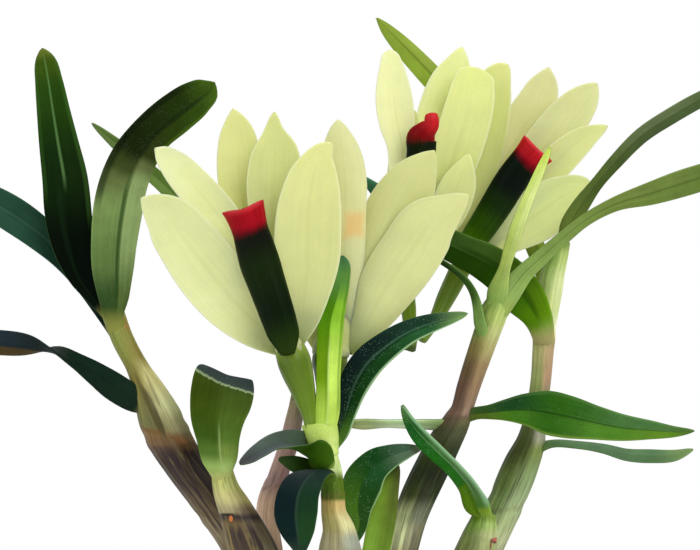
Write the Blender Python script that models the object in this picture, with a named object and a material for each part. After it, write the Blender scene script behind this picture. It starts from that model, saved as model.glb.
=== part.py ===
"""A miniature dendrobium orchid, lifted with its roots: canes, leaves and four blooms.

Lengths below are millimetres. X runs to the right, Y away from the viewer and Z up, and the
roots stand on Z = 0. The plant is about 120 mm wide and 108 mm high.
"""

import math

import bmesh
import bpy
import numpy as np
from mathutils import Vector

MM = 0.001

# Driving dimensions
GAP = 0.3               # clear space between two pieces that meet
LEAF_THICK = 0.7
TEPAL_THICK = 0.6
LIP_THICK = 0.7
CROWN_TOP = 12.0        # height at which the canes leave the rhizome
RHIZOME_HEIGHT = 7.5
RHIZOME_RADIUS = 2.6
FOOT_RADIUS = 4.0       # flat foot of the old root crown
ROOT_RADIUS = 1.0
ROOT_COUNT = 13
ROOT_REACH = 29.0
LIP_SHARE = 0.80        # the part of the lip below its coloured tip
VIEW_DISTANCE = 1000.0  # places are written as seen from this far off, on a line at VIEW_HEIGHT
VIEW_HEIGHT = 71.3
CANE_SIDES = 9
ROOT_SIDES = 5

COLOURS = {
    "cane": ((0.20, 0.13, 0.06), 0.55),
    "root": ((0.50, 0.48, 0.40), 0.85),
    "leaf_dark": ((0.02, 0.07, 0.02), 0.35),
    "leaf_bright": ((0.14, 0.28, 0.03), 0.40),
    "tepal": ((0.78, 0.82, 0.42), 0.50),
    "lip": ((0.02, 0.07, 0.01), 0.30),
    "tip": ((0.60, 0.01, 0.02), 0.35),
    "ovary": ((0.30, 0.40, 0.06), 0.45),
}

# Canes: x, y, z and radius along the axis, from the rhizome up
CANES = {
    "cane_left": [
        (-10.5, -1.5, 12, 2.2), (-10.8, -1.6, 15, 2.4), (-13.2, -2.5, 24, 2.8), (-15.7, -3.5, 32, 3.0),
        (-20.7, -4, 40, 2.9), (-24.0, -4, 44.5, 2.85), (-25.9, -4, 48, 2.85), (-28.2, -4, 54, 2.3),
        (-30.0, -4, 58, 1.75), (-32.4, -4, 62, 1.5), (-34.2, -4, 66, 1.3),
    ],
    "cane_left_short": [
        (-8.5, -7.0, 12, 2.2), (-8.6, -7.3, 15, 2.5), (-10.8, -9.3, 24, 3.2), (-13.9, -10.6, 32, 3.3),
        (-16.4, -11, 38, 2.4), (-17.5, -11, 40.5, 2.05), (-18.2, -11, 43.4, 1.6),
    ],
    "cane_back_left": [
        (-6.0, 5.0, 12, 1.8), (-6.3, 5.1, 15, 1.8), (-8.8, 6, 23, 1.7), (-11.2, 6, 32, 1.6),
        (-11.9, 6, 39, 1.55), (-10.8, 6, 42.5, 1.2), (-9.3, 6, 47, 1.0), (-8.0, 6, 53.5, 0.8),
    ],
    "cane_front": [
        (0.0, -5.0, 12, 2.4), (-0.1, -5.6, 15, 2.6), (-0.8, -9.4, 24, 3.1), (-1.4, -11.3, 32, 3.0),
        (-1.9, -11.8, 34.6, 2.4), (-2.3, -12, 37.2, 1.6), (-2.6, -12, 41.5, 1.5), (-2.9, -12, 44.5, 1.35),
        (-3.3, -12, 47.5, 1.7), (-3.9, -12, 50.2, 2.1),
    ],
    "cane_right": [
        (4.0, 1.0, 12, 2.1), (4.1, 1.1, 15, 2.2), (5.6, 1.7, 23, 2.4), (7.6, 2, 32, 2.1),
        (8.6, 2, 36.5, 2.3), (11.8, 2, 44, 2.3), (13.8, 2, 48, 2.1), (15.2, 2, 51, 2.0),
        (15.9, 2, 53, 1.4), (17.7, 2, 58.5, 1.4), (18.9, 2, 62, 1.5), (20.1, 2, 65.5, 1.7),
        (21.2, 2, 68.5, 1.05),
    ],
    "cane_far_right": [
        (11.6, 5.5, 12, 2.0), (11.8, 5.8, 15, 2.1), (15.0, 8.3, 23, 2.2), (19.4, 10, 32, 2.3),
        (21.8, 10, 38, 2.35), (24.5, 10, 44.2, 2.15), (25.8, 10, 47.5, 1.9), (26.4, 10, 50.5, 1.5),
        (27.2, 10, 56, 1.35), (27.6, 10, 61, 1.45), (28.4, 10, 65.5, 1.25), (29.4, 10, 71, 1.2),
        (30.3, 10, 76.5, 0.95),
    ],
    "cane_right_short": [
        (10.3, -1.2, 12, 2.2), (10.5, -1.2, 15, 2.5), (14.2, 0, 23, 3.0), (17.6, 2.0, 31.5, 3.0),
        (18.6, 2.5, 34.8, 2.4), (19.2, 2.5, 37.4, 1.5),
    ],
    "cane_back_arch": [
        (-1.0, 7.5, 12, 1.4), (-1.0, 7.7, 15, 1.4), (-1.4, 9, 24, 1.3), (-2.0, 9, 33, 1.2),
        (-2.9, 9, 41, 1.0), (-2.5, 9, 48, 0.95), (0.0, 9, 54, 0.9), (3.3, 9, 59.2, 0.9),
        (6.3, 9, 61.7, 0.85), (9.2, 9, 61.7, 0.95),
    ],
}

# Leaves: cane, then x, y, z, half width and roll along the midrib, then fold or arc, and colour.
# Roll 0 shows the upper face to the viewer and 180 the underside.
LEAVES = {
    "leaf_left_tall": ("cane_left", [
        (-34.2, -3.9, 65.2, 0.9, 0), (-36.6, -3.4, 68.3, 1.2, 0), (-38.2, -3.1, 71, 1.9, 0),
        (-39.6, -3, 75.5, 2.8, 0), (-40.2, -3, 80, 3.3, 0), (-40.5, -3, 85, 3.4, 0),
        (-41.4, -3, 90, 2.95, 0), (-42.3, -3.2, 95, 2.4, 0), (-43.1, -3.4, 99, 1.85, 0),
        (-43.8, -3.6, 102, 1.0, 0), (-44.1, -3.8, 103.6, 0.3, 0)], 0.30, 0, "leaf_dark"),
    "leaf_left_bent": ("cane_left", [
        (-33.6, -5.0, 64.6, 0.9, 0), (-33.7, -6.3, 68.3, 2.0, 0), (-33.8, -6.6, 72, 2.7, 0),
        (-33.65, -6.6, 76, 3.0, 0), (-33.2, -6.4, 80, 3.2, 0), (-32.4, -6.2, 84, 3.2, 0),
        (-31.0, -6, 87.8, 3.1, 0), (-28.3, -6, 91.4, 2.8, 0), (-24.9, -6, 94.3, 2.8, 0),
        (-21.8, -6.2, 96.4, 2.35, 0), (-19.8, -6.4, 97.6, 1.3, 0), (-19.0, -6.5, 98.2, 0.4, 0)],
        0.35, 0, "leaf_dark"),
    "leaf_back_thin": ("cane_back_left", [
        (-8.0, 6, 52.5, 0.7, 0), (-7.4, 5.9, 55.5, 0.8, 0), (-8.1, 5.8, 58.5, 0.9, 0),
        (-10.5, 5.4, 63, 1.1, 0), (-14.5, 4.8, 69.5, 1.2, 0), (-20, 4.2, 77.3, 1.2, 0),
        (-26.7, 3.5, 84.3, 1.15, 0), (-32.5, 3, 89.3, 0.9, 0), (-36.9, 3, 93.0, 0.25, 0)],
        0.3, 0, "leaf_bright"),
    "leaf_left_edge": ("cane_left", [
        (-33.4, -3.2, 63.6, 0.9, 0), (-35.4, -1.2, 66.4, 1.0, 0), (-38, -0.2, 70.2, 1.5, 0),
        (-41.0, 0.1, 73.8, 2.0, 0), (-44.5, 0, 77.3, 2.4, 0), (-49, -0.6, 80.5, 2.6, 0),
        (-54, -1.6, 83.2, 2.1, 0), (-58, -2.6, 84.7, 1.2, 0), (-60.6, -3.2, 85.2, 0.3, 0)],
        0.3, 0, "leaf_dark"),
    "leaf_left_low": ("cane_left", [
        (-28.6, -4.2, 53.0, 1.3, 0), (-31.0, -4.6, 54.2, 1.9, 0), (-33.5, -4.9, 55.3, 1.95, 0),
        (-36.5, -5, 57.2, 1.75, 20), (-39.5, -5, 59.1, 1.6, 52), (-41.6, -5, 60.5, 1.5, 80),
        (-45, -5, 61.3, 1.5, 125), (-50, -5, 62.0, 1.5, 155), (-54, -5, 62.3, 1.2, 165),
        (-57.5, -5, 62.3, 0.3, 170)], 0.25, 0, "leaf_dark"),
    "leaf_paddle": ("cane_left_short", [
        (-18.1, -11.4, 42.0, 1.4, 180), (-18.6, -12.0, 45, 2.5, 180), (-18.8, -12.4, 48, 3.0, 180),
        (-18.8, -12.6, 51, 3.7, 180), (-18.4, -12.2, 53.8, 4.3, 176), (-18.2, -10.8, 56.0, 4.3, 166),
        (-18.4, -8.6, 56.9, 3.5, 162), (-18.2, -6.4, 56.2, 2.2, 164), (-17.9, -5, 55.0, 0.6, 168)],
        -0.18, 0, "leaf_dark"),
    "leaf_arch": ("cane_front", [
        (-2.9, -11.8, 46.2, 0.8, 0), (-1.0, -10.6, 49.2, 1.05, 0), (0.0, -9.9, 52.5, 1.35, 0),
        (1.1, -10.3, 55.8, 1.9, 0), (2.9, -11.4, 58.8, 2.2, 0), (5.4, -12.0, 61.2, 2.1, 0),
        (8.5, -12.0, 63.2, 1.75, 0), (11.5, -11.6, 64.4, 1.3, 0), (14.5, -11.0, 65.2, 0.8, 0),
        (16.8, -10.4, 65.8, 0.25, 0)], 0.4, 0, "leaf_dark"),
    "leaf_curl": ("cane_front", [
        (-2.9, -12.4, 44.3, 1.3, 150), (-4.1, -13.6, 46.3, 1.8, 130), (-6.2, -14.2, 47.9, 1.8, 100),
        (-9, -14.3, 48.2, 1.7, 62), (-12, -14.3, 46.9, 1.5, 52), (-14.3, -14.2, 45.5, 0.9, 48),
        (-15.7, -14.2, 44.4, 0.25, 45)], 0.2, 0, "leaf_dark"),
    "leaf_small": ("cane_front", [
        (-2.7, -11.6, 43.0, 0.8, 150), (-4.6, -11.3, 43.3, 1.0, 145), (-6.8, -11.2, 43.9, 1.3, 140),
        (-8.5, -11.2, 44.5, 1.0, 140), (-10.2, -11.2, 45.1, 0.25, 140)], 0.2, 0, "leaf_dark"),
    "leaf_cup": ("cane_front", [
        (-0.6, -11.2, 32.0, 0.9, 0), (1.1, -9.6, 35.2, 1.1, 0), (1.4, -9.0, 38.4, 2.0, 0),
        (1.9, -8.6, 41.4, 2.6, 0), (3.6, -7.8, 44.2, 2.2, 0), (6, -6.2, 45.9, 1.6, 0),
        (8.3, -3.8, 46.6, 0.9, 0), (10.3, -2.0, 46.7, 0.25, 0)], 0.3, 0, "leaf_dark"),
    "leaf_low_upright": ("cane_front", [
        (-0.6, -8.6, 22.0, 1.2, 180), (2.2, -5.8, 26, 1.7, 180), (3.7, -5.0, 32, 1.9, 180),
        (4.7, -4.6, 37, 1.9, 180), (5.6, -4.4, 41, 1.4, 180), (6.5, -4.3, 43.3, 0.7, 180),
        (6.95, -4.3, 44.2, 0.25, 180)], 0.15, 0, "leaf_bright"),
    "leaf_folded": ("cane_right_short", [
        (19.2, 2, 36.2, 1.3, 0), (18.6, -0.6, 38.6, 1.7, 0), (17.0, -2.2, 41.2, 1.7, 0),
        (14.6, -3.0, 43.9, 1.4, 0), (12.2, -4.1, 46.3, 1.6, 0), (10, -4.8, 48.6, 1.45, 0),
        (8.5, -5.0, 50.6, 0.95, 0), (7.4, -5.1, 52.7, 0.25, 0)], 0.5, 0, "leaf_dark"),
    "leaf_lance": ("cane_right", [
        (15.4, 1.4, 51.6, 0.7, 0), (19.0, -0.6, 51.6, 0.7, 0), (22.5, -1.6, 52.1, 1.55, 0),
        (25.5, -2.4, 52.2, 2.4, 0), (28.5, -3, 51.9, 3.0, 0), (31.5, -3.6, 51.3, 2.9, 0),
        (35, -4, 50.3, 2.2, 0), (39, -4.4, 49.7, 1.8, 0), (43, -4.8, 49.3, 1.2, 0),
        (46.5, -5, 49, 0.65, 0), (49.2, -5.2, 49, 0.2, 0)], 0.22, 0, "leaf_bright"),
    "leaf_strap": ("cane_far_right", [
        (26.0, 9.6, 47.0, 0.8, -40), (29, 8.5, 47.1, 0.8, -60), (33, 8, 46.9, 0.85, -62),
        (36.5, 7.5, 46.3, 1.0, -50), (39.5, 7, 45.5, 1.1, -42), (43, 7, 45.3, 1.1, -38),
        (46.5, 7, 45.4, 0.85, -38), (49, 7, 46.4, 0.2, -38)], 0.2, 0, "leaf_dark"),
    "leaf_pale": ("cane_right", [
        (14.6, 1.8, 50.3, 0.8, 0), (12, 1.0, 50, 0.85, 0), (8.5, 0.4, 49.9, 0.6, 0),
        (5, 0, 49.9, 0.5, 0), (2, -0.6, 49.9, 0.75, 0), (-0.6, -1.2, 50.1, 0.3, 0)], 0.2, 0, "leaf_bright"),
    "leaf_sprout": ("cane_right", [
        (21.0, 1.6, 67.2, 0.8, 0), (21.5, 0.2, 70, 0.8, 0), (22.0, -0.6, 72, 0.85, 0),
        (23.0, -1.2, 75.5, 0.9, 0), (24.1, -1.6, 78.8, 0.9, 0), (25.2, -1.8, 81.7, 0.8, 0),
        (26.4, -2, 84.5, 0.7, 0), (27.6, -2, 87.3, 0.55, 0), (28.6, -2, 89.6, 0.25, 0)],
        0.4, 0, "leaf_bright"),
    "leaf_right_edge": ("cane_right", [
        (21.0, 2.6, 67.6, 0.9, 0), (23.4, 2.6, 70.7, 1.0, 0), (26, 2.0, 73.3, 1.1, 0),
        (30, 1.0, 76.7, 1.0, 0), (34, 0, 79.6, 0.9, 0), (38, -1, 81.5, 1.0, 0), (43, -2, 83.2, 1.6, 0),
        (48, -3, 84.8, 1.9, 0), (53, -4, 86.3, 1.7, 0), (57.5, -5, 87.4, 1.0, 0),
        (60.8, -5.6, 88.0, 0.3, 0)], 0.35, 0, "leaf_dark"),
    "leaf_right_high": ("cane_far_right", [
        (30.2, 9.4, 75.6, 0.8, 0), (31.3, 8.2, 78.5, 1.25, 0), (33, 7.4, 81.3, 1.2, 0),
        (35.2, 7, 84.3, 0.9, 0), (38, 6.6, 87.7, 1.0, 0), (41.7, 6.2, 91.5, 1.05, 0),
        (45.8, 5.8, 94.2, 1.15, 0), (50, 5.4, 96.7, 1.2, 0), (54, 5, 98.6, 0.9, 0),
        (57.4, 4.8, 99.8, 0.3, 0)], 0.3, 0, "leaf_dark"),
    "leaf_wide": ("cane_far_right", [
        (28.2, 9.4, 63.0, 1.0, 0), (27.0, 7.2, 65.6, 2.2, 0), (25.2, 6.4, 68.6, 2.9, 0),
        (22.6, 6.0, 71.5, 2.9, 0), (19.5, 5.6, 73.6, 2.8, 0), (15.5, 4.6, 75.2, 2.4, 0),
        (11.5, 3.4, 77.2, 2.3, 0), (7.6, 2.0, 80.1, 2.1, 0), (4.2, 1.0, 83.3, 1.4, 0),
        (1.0, 0.4, 86, 0.3, 0)], 0.25, 0, "leaf_dark"),
    "leaf_wire": ("cane_right", [
        (19.7, 1.4, 63.6, 0.8, 0), (18.6, -0.4, 66.4, 0.9, 0), (17.3, -0.9, 68.9, 0.75, 0),
        (15.8, -1.1, 70.7, 0.7, 0), (14, -1.3, 72.1, 0.6, 0), (12, -1.5, 73.2, 0.5, 0),
        (10.4, -1.6, 74, 0.25, 0)], 0.5, 0, "leaf_dark"),
    "leaf_top": ("cane_far_right", [
        (28.6, 10.6, 66.4, 0.9, 180), (28.4, 14.5, 68.6, 1.2, 180), (27.4, 18.6, 73, 1.5, 180),
        (24.4, 20.6, 80.5, 1.8, 180), (19.6, 20.4, 89.4, 1.9, 180), (15, 18.8, 96, 1.9, 180),
        (11.5, 17.2, 99.8, 1.8, 180), (9.6, 16.4, 101.8, 1.65, 180), (7.6, 15.6, 103.8, 1.45, 180),
        (5.5, 14.8, 106.0, 0.95, 180), (3.8, 14.2, 108.0, 0.3, 180)], 0.2, 0, "leaf_bright"),
    "leaf_front_upright": ("cane_front", [
        (-3.3, -12.4, 48.6, 1.1, 180), (-3.1, -12.6, 53, 1.6, 180), (-3.0, -12.6, 57, 1.75, 180),
        (-2.9, -12.5, 61, 1.85, 180), (-2.7, -12.4, 65, 1.8, 180), (-1.9, -12.2, 68.5, 1.4, 180),
        (-1.2, -12.0, 71.3, 1.1, 180), (-0.8, -11.9, 73.2, 0.75, 180), (-0.75, -11.9, 74.1, 0.3, 180)],
        -0.45, 0, "leaf_bright"),
}

# The drooping leaf comes towards the viewer, so its width direction is given instead of a roll.
DROOPING = ("cane_front", [
    (-2.7, -12.3, 41.2, 1.2), (-4.2, -14.2, 42.7, 2.1), (-6.1, -16.5, 42.0, 2.7), (-7.4, -17.9, 39.8, 2.9),
    (-7.8, -18.4, 37, 2.9), (-7.6, -18.3, 34.5, 2.2), (-7.3, -18.0, 32.4, 1.1), (-7.2, -17.7, 31, 0.3)])

# Blooms: each tepal is x, y, z and half width from the receptacle out. Faces: 1 shows the inside.
BLOOMS = {
    "bloom_front": {
        "face": 0,
        "ovary": [(-5.5, -12.8, 48.9, 0.8), (-5.9, -13, 51.5, 0.95), (-6.5, -13, 53.5, 1.35),
                  (-7.0, -13, 55.5, 1.75), (-7.55, -13, 57.4, 2.05), (-7.95, -13, 58.9, 2.2)],
        "cup": [(-8.12, -13, 59.55, 2.2), (-8.7, -12.8, 61.0, 2.1), (-9.4, -12.4, 63.0, 1.5),
                (-10.4, -12.2, 66.5, 1.0)],
        "cane": "cane_front",
        "lip": [(-8.9, -16.0, 59.9, 1.0), (-9.3, -16.9, 62, 2.0), (-10.0, -17.3, 64.3, 2.3),
                (-10.9, -17.5, 67, 2.45), (-12.0, -17.6, 70.2, 2.6), (-12.95, -17.7, 73, 2.75),
                (-13.7, -17.9, 75.6, 2.6), (-14.3, -18.2, 77.6, 2.45), (-14.8, -18.7, 79.3, 2.7),
                (-15.3, -19.3, 80.7, 3.05)],
        "tepals": [
            [(-9.0, -12.8, 60.6, 1.2), (-12.5, -13.0, 63.4, 2.9), (-16.1, -13.2, 67.3, 4.0),
             (-19.8, -13.5, 71.6, 4.6), (-23.2, -14.0, 75.8, 4.2), (-26.5, -14.6, 79.9, 3.2),
             (-28.8, -15.2, 81.6, 1.5), (-29.9, -15.5, 82.3, 0.3)],
            [(-9.3, -12.6, 61.6, 0.9), (-12.5, -11.6, 69.0, 1.8), (-15.8, -10.9, 75.6, 2.5),
             (-19.4, -10.6, 80.6, 2.7), (-22.6, -10.8, 84.3, 2.55), (-25.4, -11.2, 87.3, 2.0),
             (-27.2, -11.6, 88.9, 1.0), (-27.9, -11.8, 89.4, 0.3)],
            [(-9.3, -12.4, 62.2, 0.9), (-11.4, -11.0, 68, 1.6), (-13.3, -9.6, 74, 2.3),
             (-14.8, -8.6, 80, 2.9), (-15.7, -8.0, 85, 3.1), (-16.0, -7.8, 89, 2.8),
             (-16.3, -7.9, 92.5, 1.95), (-16.7, -8.0, 95.1, 0.3)],
            [(-8.9, -12.5, 62.0, 0.9), (-9.8, -11.6, 68, 1.8), (-10.6, -10.8, 75, 2.8),
             (-10.9, -10.2, 81, 3.6), (-10.6, -10.0, 86, 3.85), (-10.4, -10.0, 89.7, 2.9),
             (-10.6, -10.1, 92.2, 1.35), (-10.7, -10.2, 94.6, 0.3)],
            [(-8.4, -12.9, 61.0, 1.2), (-7.4, -13.3, 65.5, 2.4), (-6.8, -13.5, 69.5, 3.5),
             (-6.3, -13.7, 74, 4.3), (-6.1, -13.8, 78, 4.6), (-5.7, -13.8, 82, 4.3),
             (-5.0, -13.8, 86.3, 3.2), (-3.8, -13.7, 88.9, 1.5), (-2.5, -13.6, 90.2, 0.3)]]},
    "bloom_turned": {
        "face": 180,
        "ovary": [(-2.9, -11.4, 48.9, 0.8), (-2.85, -10.4, 52, 0.85), (-2.65, -9.6, 55, 1.05),
                  (-1.95, -9.2, 57.5, 1.5), (-1.55, -9.1, 59.0, 1.75)],
        "cup": [(-1.42, -9.1, 59.55, 1.8), (-1.1, -9.1, 61, 1.9), (-0.9, -9.0, 63.2, 1.4),
                (-0.8, -8.8, 66.4, 0.9)],
        "cane": "cane_front",
        "lip": [(-1.0, -6.1, 60.8, 1.0), (-0.9, -4.9, 64, 2.0), (-0.7, -4.2, 68, 2.3),
                (-0.3, -3.8, 72, 2.4), (0.1, -3.6, 75.5, 2.1), (0.4, -3.4, 77.5, 2.1),
                (0.6, -3.0, 79.6, 2.5)],
        "tepals": [
            [(-0.8, -9.4, 60.6, 1.2), (2.6, -10.2, 64.9, 2.8), (5.4, -10.9, 69.8, 4.1),
             (8.6, -11.3, 74.5, 4.4), (11.3, -11.5, 78.5, 4.0), (14.5, -11.7, 81.0, 2.1),
             (16.1, -11.8, 82.2, 1.0), (16.9, -11.9, 82.8, 0.3)],
            [(-0.8, -9.2, 61.4, 1.0), (1.6, -9.0, 67, 2.2), (4.0, -8.8, 73, 3.2), (6.2, -8.8, 78, 3.7),
             (8.2, -8.8, 82.2, 3.6), (9.9, -8.9, 85.6, 2.8), (11.3, -9.1, 87.9, 1.3),
             (12.1, -9.2, 89.1, 0.3)],
            [(-1.0, -9.4, 61.6, 1.0), (-0.9, -9.9, 67, 2.0), (-0.8, -10.2, 74, 2.8),
             (-0.9, -10.3, 80, 3.1), (-1.0, -10.3, 85, 3.1), (-1.2, -10.2, 89, 2.4),
             (-1.4, -10.1, 91.7, 1.3), (-1.6, -10.0, 93.5, 0.3)],
            [(-1.1, -9.0, 61.4, 1.0), (-1.8, -8.3, 66, 1.8), (-3.2, -7.7, 72, 2.6), (-5.0, -7.2, 78, 3.0),
             (-6.7, -6.8, 83, 2.2), (-8.2, -6.5, 86.8, 0.3)],
            [(-1.4, -8.9, 61.0, 1.0), (-4.0, -7.9, 65.4, 2.1), (-6.8, -6.8, 70.4, 3.0),
             (-9.2, -5.8, 75.2, 2.9), (-11.2, -5.0, 79, 1.7), (-12.6, -4.5, 81.8, 0.3)]]},
    "bloom_back": {
        "face": 0,
        "ovary": [(8.3, 8.7, 62.0, 0.7), (8.2, 9.0, 66, 1.0), (8.1, 9.4, 69, 1.35), (8.2, 9.5, 71.1, 1.6)],
        "cup": [(8.22, 9.5, 71.55, 1.6), (8.4, 9.5, 73, 1.8), (8.7, 9.6, 75, 1.3), (9.2, 9.8, 78, 0.9)],
        "cane": "cane_back_arch",
        "lip": [(8.3, 6.9, 72.4, 1.0), (8.8, 6.2, 75.6, 1.9), (9.3, 5.9, 79, 2.1), (9.8, 5.7, 83, 2.15),
                (10.05, 5.6, 86.5, 2.1), (10.1, 5.5, 89, 2.1), (10.3, 5.2, 91.2, 2.1), (11.2, 4.7, 93.8, 1.3)],
        "tepals": [
            [(8.3, 9.4, 73, 1.0), (7.2, 9.0, 80, 1.8), (6.6, 8.8, 86, 2.0), (6.5, 8.6, 91, 2.4),
             (6.4, 8.5, 95, 2.6), (6.3, 8.5, 99, 2.2), (6.1, 8.4, 102, 1.2), (5.7, 8.4, 103.5, 0.3)],
            [(8.3, 9.5, 73, 1.0), (7.4, 9.7, 79, 1.7), (7.2, 10.0, 85, 1.9), (7.9, 10.2, 90, 1.7),
             (8.8, 10.4, 93.2, 1.0), (9.3, 10.5, 94.8, 0.3)],
            [(8.5, 9.7, 73.2, 1.0), (10, 10.6, 79, 2.2), (11.8, 11.4, 86, 3.2), (13.0, 11.8, 91, 3.8),
             (13.9, 12.0, 95.5, 3.9), (14.8, 12.0, 99.5, 3.1), (15.6, 12.0, 102.2, 1.5),
             (16.1, 12.0, 103.8, 0.3)],
            [(8.7, 9.6, 73, 1.0), (11.5, 10.0, 79, 2.3), (14.2, 10.2, 86, 3.2), (16.0, 10.4, 91.5, 3.2),
             (17.1, 10.4, 96, 2.7), (17.7, 10.4, 99.3, 1.5), (17.9, 10.4, 101.4, 0.3)],
            [(8.8, 9.6, 72.8, 1.0), (11.9, 9.4, 77, 2.1), (14.2, 9.3, 81, 2.7), (15.8, 9.2, 85, 2.3),
             (17.0, 9.1, 88.6, 0.3)]]},
    "bloom_right": {
        "face": 0,
        "ovary": [(9.9, 9.7, 61.9, 0.7), (11.8, 11.4, 65, 0.9), (13.2, 12.9, 68, 1.3), (14.5, 13.8, 70.2, 1.5),
                  (15.5, 14.15, 71.75, 1.5)],
        "cup": [(15.78, 14.25, 72.2, 1.5), (16.5, 14.4, 73.4, 1.7), (17.5, 14.5, 75.0, 1.3),
                (19.0, 14.7, 77.6, 0.9)],
        "cane": "cane_back_arch",
        "lip": [(16.2, 11.7, 72.9, 1.0), (17.4, 10.9, 75.8, 1.8), (19.1, 10.6, 78.4, 2.0),
                (21.2, 10.4, 81.7, 2.2), (22.8, 10.3, 84.3, 2.2), (23.9, 10.2, 86.0, 2.15),
                (25.3, 9.9, 88.0, 2.2), (26.6, 9.4, 89.6, 2.6)],
        "tepals": [
            [(16.4, 14.4, 73.6, 1.0), (17.3, 15.0, 80, 2.2), (18.9, 15.4, 87, 3.2), (20.3, 15.6, 92.5, 3.3),
             (21.4, 15.7, 97, 2.6), (22.2, 15.7, 100, 1.5), (22.7, 15.7, 101.7, 0.3)],
            [(16.8, 14.6, 73.8, 1.0), (19, 15.6, 80, 2.0), (22, 16.6, 87, 2.8), (24.6, 17.2, 92, 3.0),
             (26.5, 17.4, 96, 2.7), (27.6, 17.4, 99, 1.8), (28.3, 17.4, 100.9, 0.3)],
            [(17.0, 14.5, 73.8, 1.0), (20.5, 15.2, 79, 2.0), (24.6, 15.8, 84.8, 2.8),
             (28.4, 16.2, 89.6, 3.0), (31.6, 16.4, 93.7, 2.8), (34.0, 16.4, 96.6, 2.0),
             (35.5, 16.4, 98.6, 0.4)],
            [(17.0, 14.3, 73.5, 1.0), (21.5, 14.4, 78.5, 1.8), (26, 14.5, 83.6, 2.4), (30, 14.6, 87.9, 2.4),
             (33.6, 14.6, 90.9, 1.7), (36.8, 14.6, 92.6, 0.3)],
            [(17.0, 14.3, 73.0, 1.2), (22, 14.1, 76.8, 2.3), (27, 13.8, 80.3, 3.7), (31, 13.6, 83, 3.2),
             (33.6, 13.5, 84.3, 1.6), (34.5, 13.5, 84.5, 0.6)]]},
}


def material(name):
    """One plain material for each kind of tissue."""
    found = bpy.data.materials.get(name)
    if found:
        return found
    colour, rough = COLOURS[name]
    found = bpy.data.materials.new(name)
    found.use_nodes = True
    shader = found.node_tree.nodes["Principled BSDF"]
    shader.inputs["Base Color"].default_value = (*colour, 1.0)
    shader.inputs["Roughness"].default_value = rough
    shader.inputs["Metallic"].default_value = 0.0
    return found


def smooth(rows, stations, reach=(0.0, 1.0)):
    """Rows evenly spaced along a smooth curve through the given rows, closer near the tip."""
    rows = np.array(rows, float)
    knots = np.concatenate([[0], np.cumsum(np.linalg.norm(np.diff(rows[:, :3], axis=0), axis=1))])
    slope = np.gradient(rows, knots, axis=0)
    share = np.linspace(0, 1, stations)
    share = 1 - (1 - share) ** 1.2
    share = reach[0] + (reach[1] - reach[0]) * share
    made = []
    for along in share * knots[-1]:
        i = min(np.searchsorted(knots, along, side="right") - 1, len(knots) - 2)
        step = knots[i + 1] - knots[i]
        t = (along - knots[i]) / step
        made.append(
            (2 * t**3 - 3 * t**2 + 1) * rows[i] + (t**3 - 2 * t**2 + t) * step * slope[i]
            + (3 * t**2 - 2 * t**3) * rows[i + 1] + (t**3 - t**2) * step * slope[i + 1])
    return np.array(made)


def seen(rows):
    """Places as seen by the viewer, moved to where they are at their own distance."""
    made = []
    for row in rows:
        scale = 1 + row[1] / VIEW_DISTANCE
        height = VIEW_HEIGHT + (row[2] - VIEW_HEIGHT) * scale
        made.append((row[0] * scale, row[1], height, *row[3:]))
    return made


def unit(vectors):
    return vectors / np.linalg.norm(vectors, axis=-1, keepdims=True)


def frames(centre, first=None, kept=False):
    """Tangents, and side directions carried along the line without twist, or kept as given."""
    tangent = unit(np.gradient(centre, axis=0))
    side = np.cross((0, 1, 0), tangent[0]) if first is None else np.array(first, float)
    sides = []
    for t in tangent:
        side = np.array(first, float) if kept else side
        side = unit(side - t * np.dot(side, t))
        sides.append(side)
    return tangent, np.array(sides)


def body(name, points, faces, tissue):
    """A named object from points in millimetres, with its faces turned outwards."""
    mesh = bpy.data.meshes.new(name)
    mesh.from_pydata([Vector(p) * MM for p in points], [], faces)
    shape = bmesh.new()
    shape.from_mesh(mesh)
    bmesh.ops.recalc_face_normals(shape, faces=shape.faces)
    shape.to_mesh(mesh)
    shape.free()
    mesh.materials.append(material(tissue))
    made = bpy.data.objects.new(name, mesh)
    bpy.context.scene.collection.objects.link(made)
    return made


def strip_faces(stations, across):
    """Triangles of a blade: both faces are split alike, with blunt margins and ends."""
    faces = []
    ring = 2 * across
    for s in range(stations - 1):
        for c in range(across - 1):
            a = s * ring + c
            b = a + 1
            d = a + ring
            e = b + ring
            faces += [(a, b, e), (a, e, d)]
            faces += [(a + across, e + across, b + across), (a + across, d + across, e + across)]
        left = s * ring
        right = left + across - 1
        faces += [(left, left + ring, left + ring + across), (left, left + ring + across, left + across)]
        faces += [(right, right + ring + across, right + ring), (right, right + across, right + ring + across)]
    for s, turn in ((0, 1), (stations - 1, -1)):
        for c in range(across - 1):
            a = s * ring + c
            faces += [(a, a + across, a + across + 1)[::turn], (a, a + across + 1, a + 1)[::turn]]
    return faces


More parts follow.
